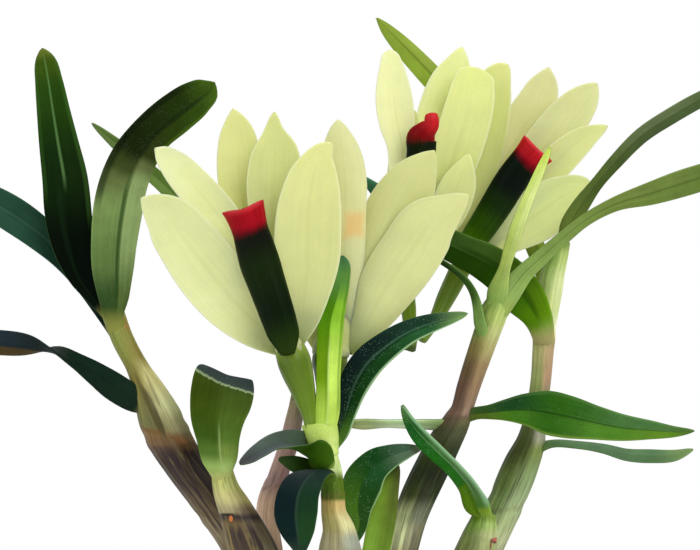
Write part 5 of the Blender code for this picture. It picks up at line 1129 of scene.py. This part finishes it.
# %% [markdown]
# A bloom has five tepals, and here they stand close together, as on a flower that is seen from
# behind. Each is a thin petal bent across like a shallow gutter. The lip is one long channel
# whose rim flares at the red tip. The plain model splits the lip in two so that the red part has
# its own name, but a real lip is one piece, so one mesh stands for both here.
# %% The blooms' lines
# Every line is x, y, z and half width or radius. The ovary goes from its foot on the cane up, and
# the others from the stalk out. The cup is the column that the tepals stand on. Face 0 shows the
# viewer the inside of the tepals and 180 their backs.
BLOOMS = {
    "bloom_front": {
        "face": 0,
        "ovary": [(-5.5, -12.8, 48.9, 0.9), (-5.8, -13, 50.9, 0.97), (-6.27, -13, 53.2, 1.42),
                  (-6.85, -13, 55.3, 1.8), (-7.5, -13, 57.4, 2.2), (-7.95, -13, 58.9, 2.37)],
        "cup": [(-8.12, -13, 59.55, 2.2), (-8.7, -12.8, 61.0, 2.1), (-9.4, -12.4, 63.0, 1.5),
                (-10.4, -12.2, 66.5, 1.0)],
        "lip": [(-8.9, -16.0, 59.9, 1.0), (-9.3, -16.9, 62, 2.0), (-10.0, -17.3, 64.3, 2.3),
                (-10.9, -17.5, 67, 2.45), (-12.0, -17.6, 70.2, 2.6), (-12.95, -17.7, 73, 2.75),
                (-13.7, -17.9, 75.6, 2.6), (-14.3, -18.2, 77.6, 2.45), (-14.8, -18.7, 79.3, 2.7),
                (-15.3, -19.3, 80.7, 3.05)],
        "tepals": [
            [(-9.0, -12.8, 60.6, 1.2), (-12.5, -13.0, 63.45, 3.0), (-16.25, -13.2, 67.1, 4.25),
             (-19.9, -13.5, 71.5, 4.7), (-23.2, -14.0, 75.8, 4.3), (-26.5, -14.6, 79.9, 3.2),
             (-28.8, -15.2, 81.6, 1.5), (-29.9, -15.5, 82.3, 0.3)],
            [(-9.3, -12.6, 61.6, 0.9), (-12.5, -11.6, 69.0, 1.8), (-15.8, -10.9, 75.6, 2.5),
             (-19.4, -10.6, 80.6, 2.7), (-22.6, -10.8, 84.3, 2.55), (-25.4, -11.2, 87.3, 2.0),
             (-27.2, -11.6, 88.9, 1.0), (-27.9, -11.8, 89.4, 0.3)],
            [(-9.3, -12.4, 62.2, 0.9), (-11.4, -11.0, 68, 1.6), (-13.3, -9.6, 74, 2.3),
             (-14.8, -8.6, 80, 2.9), (-15.7, -8.0, 85, 3.1), (-15.9, -7.8, 89, 2.95),
             (-16.2, -7.9, 92.5, 2.05), (-16.7, -8.0, 95.1, 0.3)],
            [(-8.9, -12.5, 62.0, 0.9), (-9.8, -11.6, 68, 1.8), (-10.6, -10.8, 75, 2.8),
             (-10.9, -10.2, 81, 3.6), (-10.75, -10.0, 86, 3.8), (-10.65, -10.0, 89.7, 2.95),
             (-10.85, -10.1, 92.2, 1.3), (-10.8, -10.2, 94.6, 0.3)],
            [(-8.4, -12.9, 61.0, 1.2), (-7.0, -13.3, 65.2, 2.6), (-6.5, -13.5, 69.3, 3.75),
             (-6.1, -13.7, 74, 4.6), (-6.0, -13.8, 78, 4.65), (-5.65, -13.8, 82, 4.3),
             (-4.85, -13.8, 86.3, 3.1), (-3.8, -13.7, 88.9, 1.5), (-2.5, -13.6, 90.2, 0.3)]]},
    "bloom_turned": {
        "face": 180,
        "ovary": [(-3.2, -11.0, 48.9, 0.9), (-3.1, -10.4, 52, 1.3), (-3.0, -9.8, 55, 1.75),
                  (-2.9, -9.3, 57.5, 2.2), (-2.9, -9.1, 59.0, 2.5)],
        "cup": [(-2.8, -9.1, 59.55, 2.6), (-2.6, -9.1, 61, 2.7), (-1.6, -9.0, 63.2, 1.9),
                (-0.8, -8.8, 66.4, 0.9)],
        "lip": [(-1.0, -6.1, 60.8, 1.0), (-0.9, -4.9, 64, 2.0), (-0.7, -4.2, 68, 2.3),
                (-0.3, -3.8, 72, 2.4), (0.1, -3.6, 75.5, 2.1), (0.4, -3.4, 77.5, 2.1),
                (0.6, -3.0, 79.6, 2.5)],
        "tepals": [
            [(-0.8, -9.4, 60.6, 1.2), (2.6, -10.2, 64.9, 2.8), (5.4, -10.9, 69.8, 4.1),
             (8.6, -11.3, 74.5, 4.4), (11.3, -11.5, 78.5, 4.0), (14.5, -11.7, 81.0, 2.1),
             (16.1, -11.8, 82.2, 1.0), (16.9, -11.9, 82.8, 0.3)],
            [(-0.8, -9.2, 61.4, 1.0), (1.2, -9.0, 67, 2.5), (3.4, -8.8, 73, 3.7), (5.5, -8.8, 78, 4.35),
             (7.6, -8.8, 82.2, 4.15), (9.6, -8.9, 85.6, 3.05), (11.25, -9.1, 87.9, 1.4),
             (12.1, -9.2, 89.1, 0.3)],
            [(-1.0, -9.4, 61.6, 1.0), (-0.9, -9.9, 67, 2.0), (-0.8, -10.2, 74, 2.8),
             (-0.9, -10.3, 80, 3.1), (-0.92, -10.3, 85, 3.2), (-1.3, -10.2, 89, 2.7),
             (-1.6, -10.1, 91.7, 1.55), (-1.7, -10.0, 93.5, 0.4)],
            [(-1.1, -9.0, 61.4, 1.0), (-1.8, -8.3, 66, 1.8), (-3.2, -7.7, 72, 2.6), (-5.0, -7.2, 78, 3.0),
             (-6.7, -6.8, 83, 2.2), (-8.2, -6.5, 86.8, 0.3)],
            [(-2.8, -8.9, 60.4, 1.9), (-4.4, -8.1, 64.2, 2.6), (-6.6, -6.9, 69.6, 3.1),
             (-9.2, -5.8, 75.2, 2.9), (-11.2, -5.0, 79, 1.7), (-12.6, -4.5, 81.8, 0.3)]]},
    "bloom_back": {
        "face": 0,
        "ovary": [(8.5, 8.7, 62.0, 0.8), (8.4, 9.0, 66, 1.05), (8.05, 9.4, 69, 1.25),
                  (8.15, 9.5, 71.1, 1.5)],
        "cup": [(8.22, 9.5, 71.55, 1.6), (8.4, 9.5, 73, 1.8), (8.7, 9.6, 75, 1.3), (9.2, 9.8, 78, 0.9)],
        "lip": [(8.3, 6.9, 72.4, 1.0), (8.8, 6.2, 75.6, 1.9), (9.3, 5.9, 79, 2.1), (9.8, 5.7, 83, 2.15),
                (10.05, 5.6, 86.5, 2.0), (10.2, 5.5, 89, 2.0), (10.3, 5.2, 90.9, 2.0),
                (10.95, 5.0, 91.9, 1.4),
                (11.7, 4.8, 92.7, 0.95), (11.7, 4.8, 93.6, 0.92), (11.6, 4.8, 94.5, 0.7)],
        "tepals": [
            [(8.3, 9.4, 73, 1.0), (7.8, 9.0, 80, 1.7), (7.5, 8.8, 86, 1.9), (7.3, 8.6, 90.2, 2.1),
             (6.75, 8.5, 92.8, 2.5), (6.35, 8.5, 95.8, 2.65), (6.1, 8.5, 98.8, 2.3), (5.9, 8.4, 101.3, 1.65),
             (5.55, 8.4, 103.5, 0.95)],
            [(8.3, 9.5, 73, 1.0), (7.4, 9.7, 79, 1.7), (7.2, 10.0, 85, 1.9), (7.9, 10.2, 90, 1.7),
             (8.8, 10.4, 93.2, 1.0), (9.3, 10.5, 94.8, 0.3)],
            [(8.5, 9.7, 73.2, 1.0), (10, 11.2, 79, 2.2), (11.8, 12.4, 86, 3.2), (12.9, 12.9, 91, 3.9),
             (13.9, 13.1, 95.5, 3.9), (14.8, 13.0, 99.5, 3.0), (15.5, 12.9, 102.0, 1.6),
             (16.0, 12.8, 103.9, 0.4)],
            [(8.7, 9.6, 73, 1.0), (11.5, 9.9, 79, 2.3), (14.2, 10.1, 86, 3.3), (16.0, 10.4, 91.5, 3.6),
             (17.2, 10.7, 96, 3.4), (17.7, 10.8, 98.6, 3.0), (18.1, 10.8, 100.0, 2.5),
             (18.4, 10.8, 100.9, 1.8)],
            [(8.8, 9.6, 72.8, 1.0), (11.9, 9.0, 77, 2.1), (14.2, 8.5, 81, 2.7), (15.8, 8.3, 85, 2.3),
             (17.0, 8.2, 88.6, 0.3)]]},
    "bloom_right": {
        "face": 0,
        "ovary": [(10.1, 9.7, 61.9, 0.8), (12.2, 11.4, 65, 0.95), (13.7, 12.9, 68, 1.3),
                  (14.8, 13.8, 70.2, 1.45),
                  (15.55, 14.15, 71.75, 1.5)],
        "cup": [(15.78, 14.25, 72.2, 1.5), (16.5, 14.4, 73.4, 1.7), (17.5, 14.5, 75.0, 1.3),
                (19.0, 14.7, 77.6, 0.9)],
        "lip": [(16.2, 11.7, 72.9, 1.0), (17.4, 10.9, 75.8, 1.8), (19.1, 10.6, 78.4, 2.0),
                (21.2, 10.4, 81.7, 2.2), (22.8, 10.3, 84.3, 2.25), (24.0, 10.2, 86.0, 2.25),
                (25.5, 9.9, 87.8, 2.3), (26.9, 9.4, 89.3, 2.75)],
        "tepals": [
            [(16.4, 14.4, 73.6, 1.0), (16.8, 14.6, 80, 2.3), (17.9, 14.6, 87, 3.4), (19.0, 14.4, 92.5, 3.6),
             (19.95, 14.3, 96.3, 3.1), (20.65, 14.2, 98.6, 2.55), (21.5, 14.2, 100.1, 1.8),
             (22.6, 14.2, 101.4, 0.7)],
            [(16.8, 14.6, 73.8, 1.0), (19, 16.0, 80, 2.0), (21.8, 17.0, 87, 3.0), (24.6, 17.4, 92, 3.3),
             (26.75, 17.6, 96, 2.85), (27.85, 18.0, 99, 1.85), (28.4, 18.0, 101.0, 0.3)],
            [(17.0, 14.5, 73.8, 1.0), (20.5, 15.2, 79, 2.0), (24.6, 15.8, 84.8, 2.8),
             (28.2, 15.6, 89.8, 3.4), (31.35, 15.8, 94.0, 3.0), (33.75, 15.8, 96.8, 2.05),
             (35.3, 15.8, 98.7, 0.5)],
            [(17.0, 14.3, 73.5, 1.0), (21.5, 14.2, 78.5, 1.8), (26, 14.0, 83.6, 2.4), (30, 14.0, 87.9, 2.4),
             (33.6, 14.1, 90.9, 1.7), (36.8, 14.2, 92.6, 0.3)],
            [(17.0, 14.3, 73.0, 1.2), (22, 13.7, 76.6, 2.6), (27, 13.1, 80.1, 3.85), (30.9, 12.8, 82.7, 3.0),
             (33.6, 12.7, 83.9, 1.5), (34.7, 12.7, 84.0, 0.5)]]},
}

print("Tepals:", sum(len(plan["tepals"]) for plan in BLOOMS.values()))

# %% [markdown]
# A petal is thin and wet inside, so light that enters it comes out again close by. Subsurface
# scattering gives that soft glow, where a plain diffuse finish would look like card. Faint veins
# run its length, each petal gets a tint of painted light and shade by how much light it catches,
# and its colour is greener and darker at its base, its own green there deepened by painted shade
# near the column. One petal carries the painted glow of a red lip showing through it.
# %% The petals' finish
PETAL_BASE = (178, 186, 134)
PETAL_BODY = (222, 226, 158)
PETAL_TIP = (228, 232, 164)


def tepal_finish(name, tints, patch):
    """Pale yellow petals. Tints are one for each petal and one for the column, painted light
    and shade by how much light each catches. A patch is a single mark, the painted glow of a red
    lip showing through a petal: its x and z, half width, half height, colour, and the number of its
    petal."""
    f = Finish(name, 0.5, 0.2, Subsurface_Weight=0.6, Subsurface_Radius=(1.0, 0.9, 0.5),
               Subsurface_Scale=1.5 * MM)
    u, v, _ = f.parts()
    x, y, z = f.point()
    tone = f.tone()
    between = [int((b + c) / 2) for b, c in zip(PETAL_BASE, PETAL_BODY)]
    # Greener and darker towards the base: the petal's own green, deepened by painted shade near the column.
    shade = f.ramp(v, [(0, 140, 156, 90), (0.12, *PETAL_BASE), (0.25, *between), (0.4, *PETAL_BODY),
                       (0.8, *PETAL_BODY), (1, *PETAL_TIP)])
    # Each petal's tint is painted light and shade for that petal.
    for index, tint in enumerate(tints):
        here = tone.band(float(index), 0.4)
        shade = f.mix(here * v.rise(0.1, 0.4), shade, tint)
    veins = f.noise(f.vector(u * 9.0, v * 1.1, tone * 7.0), detail=2.0)
    fine = f.noise(f.vector(u * 26.0, v * 3.0, tone * 7.0), detail=2.0)
    cloud = f.noise(f.vector(x * 0.3, y * 0.3, z * 0.3), detail=3.0)
    skin = f.noise(f.vector(x * 3.0, y * 3.0, z * 3.0))
    light = 1.0 + (veins - 0.5) * 0.12 + (fine - 0.5) * 0.07 + (cloud - 0.5) * 0.16 + (skin - 0.5) * 0.08
    shade = f.shaded(shade, light)
    shade = f.mix(u.band(0.0, 0.13) * v.rise(0.9, 0.6) * 0.12, shade, (180, 188, 114))
    shade = f.mix(abs(u).rise(0.9, 1.0) * 0.25, shade, (236, 240, 188))
    # The patch is painted light: a red lip behind glowing through the thin petal.
    if patch:
        across, height, wide, tall, hue, which = patch
        aside = abs((x - across) * (1 / wide))
        far = aside.run("MAXIMUM", aside, abs((z - height) * (1 / tall))) + (cloud - 0.5) * 0.5
        shade = f.mix(far.rise(1.3, 0.4) * tone.band(float(which), 0.4) * 0.8, shade, hue)
    relief = veins * 0.4 + fine * 0.2 + skin * 0.4 - u.band(0.0, 0.12) * 0.3
    return f.done(shade, rough=0.46 + (skin - 0.5) * 0.2, height=relief, depth=0.06, strength=0.4)


print("Petal finish ready")

# %% [markdown]
# The lip is dark green outside and turns red at its tip, at a border that follows its veins a
# little. Two colour ramps with a mask between them let that border move by itself, while one ramp
# would shift all its colours with it. The stalks are plain green with low ribs.
# %% Lip and stalk finishes
def lip_finish(name, outer, inner, tip, split, slant):
    """A channelled lip: dark green outside, red at the tip, its rim and throat paler."""
    f = Finish(name, 0.4, 0.06)
    u, v, side = f.parts()
    x, y, z = f.point()
    green = f.mix(side.rise(0.4, 0.6), f.ramp(v, inner), f.ramp(v, outer))
    veins = f.noise(f.vector(u * 12.0, v * 1.6, side * 3.0), detail=2.0)
    skin = f.noise(f.vector(x * 2.6, y * 2.6, z * 2.6), detail=3.0)
    green = f.shaded(green, 1.0 + (veins - 0.5) * 0.9 + (skin - 0.5) * 0.3)
    green = f.mix(abs(u).rise(0.8, 1.0) * v.rise(0.06, 0.3) * 0.2, green, (60, 84, 36))
    red = f.shaded(f.ramp(v, tip), 1.0 + (veins - 0.5) * 0.7 + (skin - 0.5) * 0.3)
    edge = (v + (veins - 0.5) * 0.05 + u * slant).rise(split - 0.04, split + 0.025)
    shade = f.mix(edge, green, red)
    return f.done(shade, rough=0.34 + (skin - 0.5) * 0.2, height=veins * 0.6 + skin * 0.4, depth=0.08)


def stalk_finish(name, stops):
    """A green flower stalk with low ribs, and a painted highlight down its right side."""
    f = Finish(name, 0.42, 0.3)
    across, along, front = f.parts()
    x, y, z = f.point()
    ribs = f.noise(f.vector(across * 4.0, along * 1.0, front * 4.0), detail=2.0)
    skin = f.noise(f.vector(x * 3.0, y * 3.0, z * 3.0))
    shade = f.shaded(f.ramp(along, stops), 1.0 + (ribs - 0.5) * 0.5 + (skin - 0.5) * 0.2)
    # A painted highlight down the right side, where the light falls.
    shade = f.mix((across - front * 0.2).rise(0.55, 0.95) * 0.5, shade, (148, 166, 92))
    return f.done(shade, rough=0.42 + (skin - 0.5) * 0.2, height=ribs, depth=0.1)


print("Lip and stalk finishes ready")

# %% [markdown]
# The petals of one bloom are joined in one piece together with the column they stand on, because
# they grow as one. The tone attribute numbers them, so that the finish can tell a petal in the
# sun from one in the shade of its neighbour.
# %% The blooms
TEPAL_THICK = 0.5
TEPAL_BEND = 30
LIP_THICK = 0.6
LIP_BEND = 62
LIP_TIP_SHARE = 0.015
# A tint for each tepal and one for the column: painted light and shade, by how much light each catches
TEPAL_LIGHT_TINTS = {
    "bloom_front": [(217, 223, 166), (234, 240, 180), (214, 218, 150), (206, 212, 146), (216, 220, 152),
                    (190, 196, 128)],
    "bloom_turned": [(210, 214, 152), (204, 208, 146), (212, 214, 160), (202, 208, 142), (214, 218, 152),
                     (190, 196, 128)],
    "bloom_back": [(242, 246, 184), (204, 208, 144), (234, 242, 172), (226, 234, 154), (228, 234, 158),
                   (196, 200, 130)],
    "bloom_right": [(216, 222, 150), (214, 214, 162), (214, 218, 162), (218, 224, 156), (230, 244, 168),
                    (190, 196, 130)],
}
# A painted glow: the red lip tip of the turned bloom showing through its petal.
TEPAL_GLOW_THROUGH = {"bloom_turned": (0.6, 78.4, 1.6, 2.0, (230, 186, 122), 2)}
# Where a lip turns red, how its border slants, and its colours outside: green, then red
LIP_LOOKS = {
    "bloom_front": (0.84, 0.02,
                    [(0, 34, 54, 6), (0.3, 8, 24, 5), (0.6, 18, 34, 6), (0.8, 14, 18, 8), (1, 30, 14, 8)],
                    [(0, 90, 4, 16), (0.82, 100, 2, 18), (0.9, 156, 8, 24), (0.96, 160, 8, 24),
                     (1, 190, 40, 48)]),
    "bloom_turned": (0.8, 0.0, [(0, 70, 96, 30), (0.5, 16, 30, 10), (1, 14, 20, 8)],
                     [(0, 96, 4, 18), (0.9, 150, 12, 24), (1, 180, 40, 44)]),
    "bloom_back": (0.815, 0.02, [(0, 84, 110, 40), (0.3, 50, 74, 16), (0.6, 14, 30, 10), (0.8, 18, 26, 10),
                                (1, 30, 16, 10)],
                   [(0, 100, 6, 14), (0.84, 130, 10, 16), (0.93, 190, 30, 36), (1, 206, 50, 54)]),
    "bloom_right": (0.86, -0.02,
                    [(0, 84, 118, 46), (0.16, 66, 108, 6), (0.32, 44, 76, 6), (0.5, 22, 44, 8),
                     (0.66, 8, 18, 12), (0.8, 5, 18, 8), (1, 20, 14, 10)],
                    [(0, 100, 2, 18), (0.86, 120, 2, 20), (0.92, 176, 18, 30), (0.97, 190, 26, 34),
                     (1, 214, 56, 64)]),
}
LIP_INNER = [(0, 110, 130, 60), (0.7, 90, 100, 50), (1, 120, 60, 50)]
OVARY_STOPS = [(0, 120, 150, 50), (0.3, 100, 130, 14), (0.55, 92, 120, 12), (0.8, 84, 110, 10),
               (1, 130, 156, 40)]

for name, plan in BLOOMS.items():
    roll = plan["face"]
    parts = []
    for rows in plan["tepals"]:
        rows = [(*row, roll) for row in seen(rows)]
        parts.append(sheet_points(rows, TEPAL_THICK, arc=TEPAL_BEND, wave=0.05, waves=1.6))
    parts.append(tube_points(seen(plan["cup"]), sides=32, stations=30))
    points, faces, place, tone = joined(parts)
    petals = piece(name + "_tepals_shape", points, faces, place, name + "_tepals", "tepal", tone)
    petals.data.materials.append(
        tepal_finish(name + "_tepals_finish", TEPAL_LIGHT_TINTS[name], TEPAL_GLOW_THROUGH.get(name)))

    rows = [(*row, roll + 180) for row in seen(plan["lip"])]
    sheet = sheet_points(rows, LIP_THICK, arc=LIP_BEND, across=27, stations=70, wave=0.03, waves=3,
                         tip=LIP_TIP_SHARE)
    lip = piece(name + "_lip_shape", *sheet, [name + "_lip", name + "_tip"], "lip")
    split, slant, outer, tip = LIP_LOOKS[name]
    lip.data.materials.append(lip_finish(name + "_lip_finish", outer, LIP_INNER, tip, split, slant))

    into = (*plan["cup"][1][:3], plan["ovary"][-1][3] * 0.9)
    tube = tube_points(seen(plan["ovary"] + [into]), sides=36, stations=60, ribs=6, rib_depth=0.04)
    stalk = piece(name + "_ovary_shape", *tube, name + "_ovary", "ovary")
    stalk.data.materials.append(stalk_finish(name + "_ovary_finish", OVARY_STOPS))
print("Blooms made:", len(BLOOMS))

# %% [markdown]
# The photograph ends above the roots, so the creeping stem and the roots here are what such a
# plant has there. Orchid roots wear a spongy pale coat and have green growing tips. They're tubes
# like the canes, but their lines come from a formula with a bow and a bend for each, so that no
# two are alike and all end level on the ground.
# %% Creeping stem and roots
RHIZOME_HEIGHT = 7.5
RHIZOME_RADIUS = 2.6
FOOT_RADIUS = 4.0
ROOT_RADIUS = 1.0
ROOT_COUNT = 13
ROOT_REACH = 29.0


def root_line(k):
    """One root: out of the crown, down in a bow and level along the ground."""
    angle = 2 * math.pi * (k + 0.35 * math.sin(3.7 * k)) / ROOT_COUNT
    reach = ROOT_REACH * (1 + 0.14 * math.sin(2.3 * k))
    along = np.array((math.cos(angle), math.sin(angle), 0))
    bend = np.array((-along[1], along[0], 0)) * 2.6 * math.sin(1.9 * k)
    start = np.array((7.5 * along[0], 1.4 * along[1], RHIZOME_HEIGHT - 1.2))
    knee = start * 0.4 + along * reach * 0.34 + bend * 0.5
    knee[2] = 5.6 - 0.8 * math.sin(1.3 * k)
    fall = along * reach * 0.66 + bend
    fall[2] = 1.7
    rest = along * reach * 0.86 + bend * 0.4
    rest[2] = ROOT_RADIUS * 0.75
    end = along * reach
    end[2] = ROOT_RADIUS * 0.7
    widths = [1.25 * ROOT_RADIUS, 1.15 * ROOT_RADIUS, ROOT_RADIUS, ROOT_RADIUS, 0.75 * ROOT_RADIUS]
    return [(*place, width) for place, width in zip((start, knee, fall, rest, end), widths)]


def root_finish():
    """Spongy pale root skin, green at the tips, and brown on the creeping stem, where tone is 1."""
    f = Finish("root_finish", 0.85, 0.1)
    _, along, _ = f.parts()
    tone = f.tone()
    x, y, z = f.point()
    cloud = f.noise(f.vector(x * 0.6, y * 0.6, z * 0.6), detail=5.0, rough=0.6)
    grain = f.noise(f.vector(x * 4.0, y * 4.0, z * 4.0), detail=3.0)
    skin = f.mix(cloud.rise(0.35, 0.65), (158, 152, 128), (206, 202, 184))
    skin = f.mix(along.rise(0.9, 0.99), skin, (132, 158, 78))
    wood = f.mix(cloud.rise(0.4, 0.62), (98, 80, 56), (146, 128, 92))
    rings = f.node("TexWave", {"bands_direction": "X"}, {"Vector": f.vector(x, y * 0.2, z * 0.2),
                   "Scale": 0.35, "Distortion": 2.0}, out=1)
    wood = f.mix(rings.rise(0.75, 0.95) * 0.5, wood, (64, 50, 36))
    shade = f.shaded(f.mix(tone, skin, wood), 1.0 + (grain - 0.5) * 0.5)
    return f.done(shade, height=cloud * 0.4 + grain * 0.6, depth=0.2, strength=0.7)


parts = []
line = [(-9.5, -3.5, RHIZOME_HEIGHT - 0.4, RHIZOME_RADIUS), (-4, -0.5, RHIZOME_HEIGHT, RHIZOME_RADIUS),
        (2.5, 0.8, RHIZOME_HEIGHT, RHIZOME_RADIUS), (10.8, 2.2, RHIZOME_HEIGHT - 0.4, RHIZOME_RADIUS)]
parts.append(tube_points(line, sides=48, stations=70, nodes=[0.2, 0.4, 0.6, 0.8], node_depth=0.08, ribs=9,
                         rib_depth=0.03))
foot = [(0.3, 0, 8, FOOT_RADIUS + 1.2), (0.1, 0, 4, FOOT_RADIUS + 0.6), (0, 0, 0.05, FOOT_RADIUS)]
parts.append(tube_points(foot, sides=40, stations=16, cap=0.9, floor=0.0))
for rows in CANES.values():
    x, y, top, radius = seen(rows)[0]
    near = (min(max(x, -8.5), 9.8), y * 0.45, RHIZOME_HEIGHT - 1, radius * 0.9)
    stub = [near, (x, y, top - 2.2, radius), (x, y, top + 0.4, radius)]
    parts.append(tube_points(stub, sides=36, stations=30, ribs=9, rib_depth=0.03, cap=0.9))
woody = len(parts)
for k in range(ROOT_COUNT):
    parts.append(tube_points(root_line(k), sides=20, stations=70, ribs=3, rib_depth=0.03, floor=0.02))
points, faces, place, tone = joined(parts)
roots = piece("rhizome_and_roots_shape", points, faces, place, "rhizome_and_roots", "root",
              [1.0 if t < woody else 0.0 for t in tone])
roots.data.materials.append(root_finish())
print("Roots made:", ROOT_COUNT)

# %% [markdown]
# The stage is plain: a pale round floor, which ends before it could cross the level view, and a
# white surround. Only camera rays see the surround at full white. Other rays see it dimmer, so
# the dark leaves keep their depth and the petals their form.
# %% Floor and surround
FLOOR_RADIUS = 320.0
FLOOR_SIDES = 96

floor = bpy.data.meshes.new("floor")
floor.from_pydata([(FLOOR_RADIUS * MM * math.cos(a), FLOOR_RADIUS * MM * math.sin(a), 0.0)
                   for a in np.linspace(0, 2 * math.pi, FLOOR_SIDES + 1)[:-1]],
                  [], [tuple(range(FLOOR_SIDES))])
floor = bpy.data.objects.new("floor", floor)
bpy.context.scene.collection.objects.link(floor)
f = Finish("floor_finish", 0.8, 0.1)
cloud = f.noise(f.vector(*f.point()), detail=2.0)
floor.data.materials.append(f.done(f.mix(cloud * 0.1, (244, 244, 242), (236, 236, 234))))

world = bpy.data.worlds.new("surround")
bpy.context.scene.world = world
world.use_nodes = True
tree = world.node_tree
ambient = tree.nodes["Background"]
ambient.inputs["Color"].default_value = colour(248, 250, 255)
ambient.inputs["Strength"].default_value = 0.5
seen_white = tree.nodes.new("ShaderNodeBackground")
seen_white.inputs["Strength"].default_value = 1.0
seen_white.inputs["Color"].default_value = (1.0, 1.0, 1.0, 1.0)
path = tree.nodes.new("ShaderNodeLightPath")
either = tree.nodes.new("ShaderNodeMixShader")
tree.links.new(path.outputs["Is Camera Ray"], either.inputs[0])
tree.links.new(ambient.outputs[0], either.inputs[1])
tree.links.new(seen_white.outputs[0], either.inputs[2])
tree.links.new(either.outputs[0], tree.nodes["World Output"].inputs["Surface"])
print("Floor radius:", FLOOR_RADIUS, "mm")

# %% [markdown]
# One wide soft lamp above on the right gives the petals their light side, and a weak one on the
# left keeps the shaded sides readable. The camera stands a metre away on the level of the
# picture's middle, where the photograph seems to be taken from, with a long lens.
# %% Lamps and camera
LAMP_AIM = (0, 0, 60)


def lamp(name, place, size, power, tint=(255, 255, 255)):
    """A square lamp, placed and sized in millimetres, that points at the plant."""
    light = bpy.data.lights.new(name, "AREA")
    light.size = size * MM
    light.energy = power
    light.color = colour(*tint)[:3]
    made = bpy.data.objects.new(name, light)
    made.location = Vector(place) * MM
    made.rotation_euler = (Vector(LAMP_AIM) - Vector(place)).to_track_quat("-Z", "Y").to_euler()
    bpy.context.scene.collection.objects.link(made)
    return made


lamp("key", (230, -380, 400), 420, 1.9, (255, 253, 248))
lamp("fill", (-420, -330, 160), 400, 0.55, (248, 251, 255))
lamp("top", (-40, 220, 420), 380, 0.7)

camera = bpy.data.cameras.new("camera")
camera.lens = 360
camera.sensor_width = 36
camera.clip_start = 0.01
camera.clip_end = 10
camera = bpy.data.objects.new("camera", camera)
camera.location = (0, -VIEW_DISTANCE * MM, VIEW_HEIGHT * MM)
camera.rotation_euler = (math.pi / 2, 0, 0)
bpy.context.scene.collection.objects.link(camera)
bpy.context.scene.camera = camera
bpy.context.scene.view_settings.view_transform = "Standard"
bpy.context.scene.view_settings.look = "None"
print("Camera at", [round(c, 3) for c in camera.location])
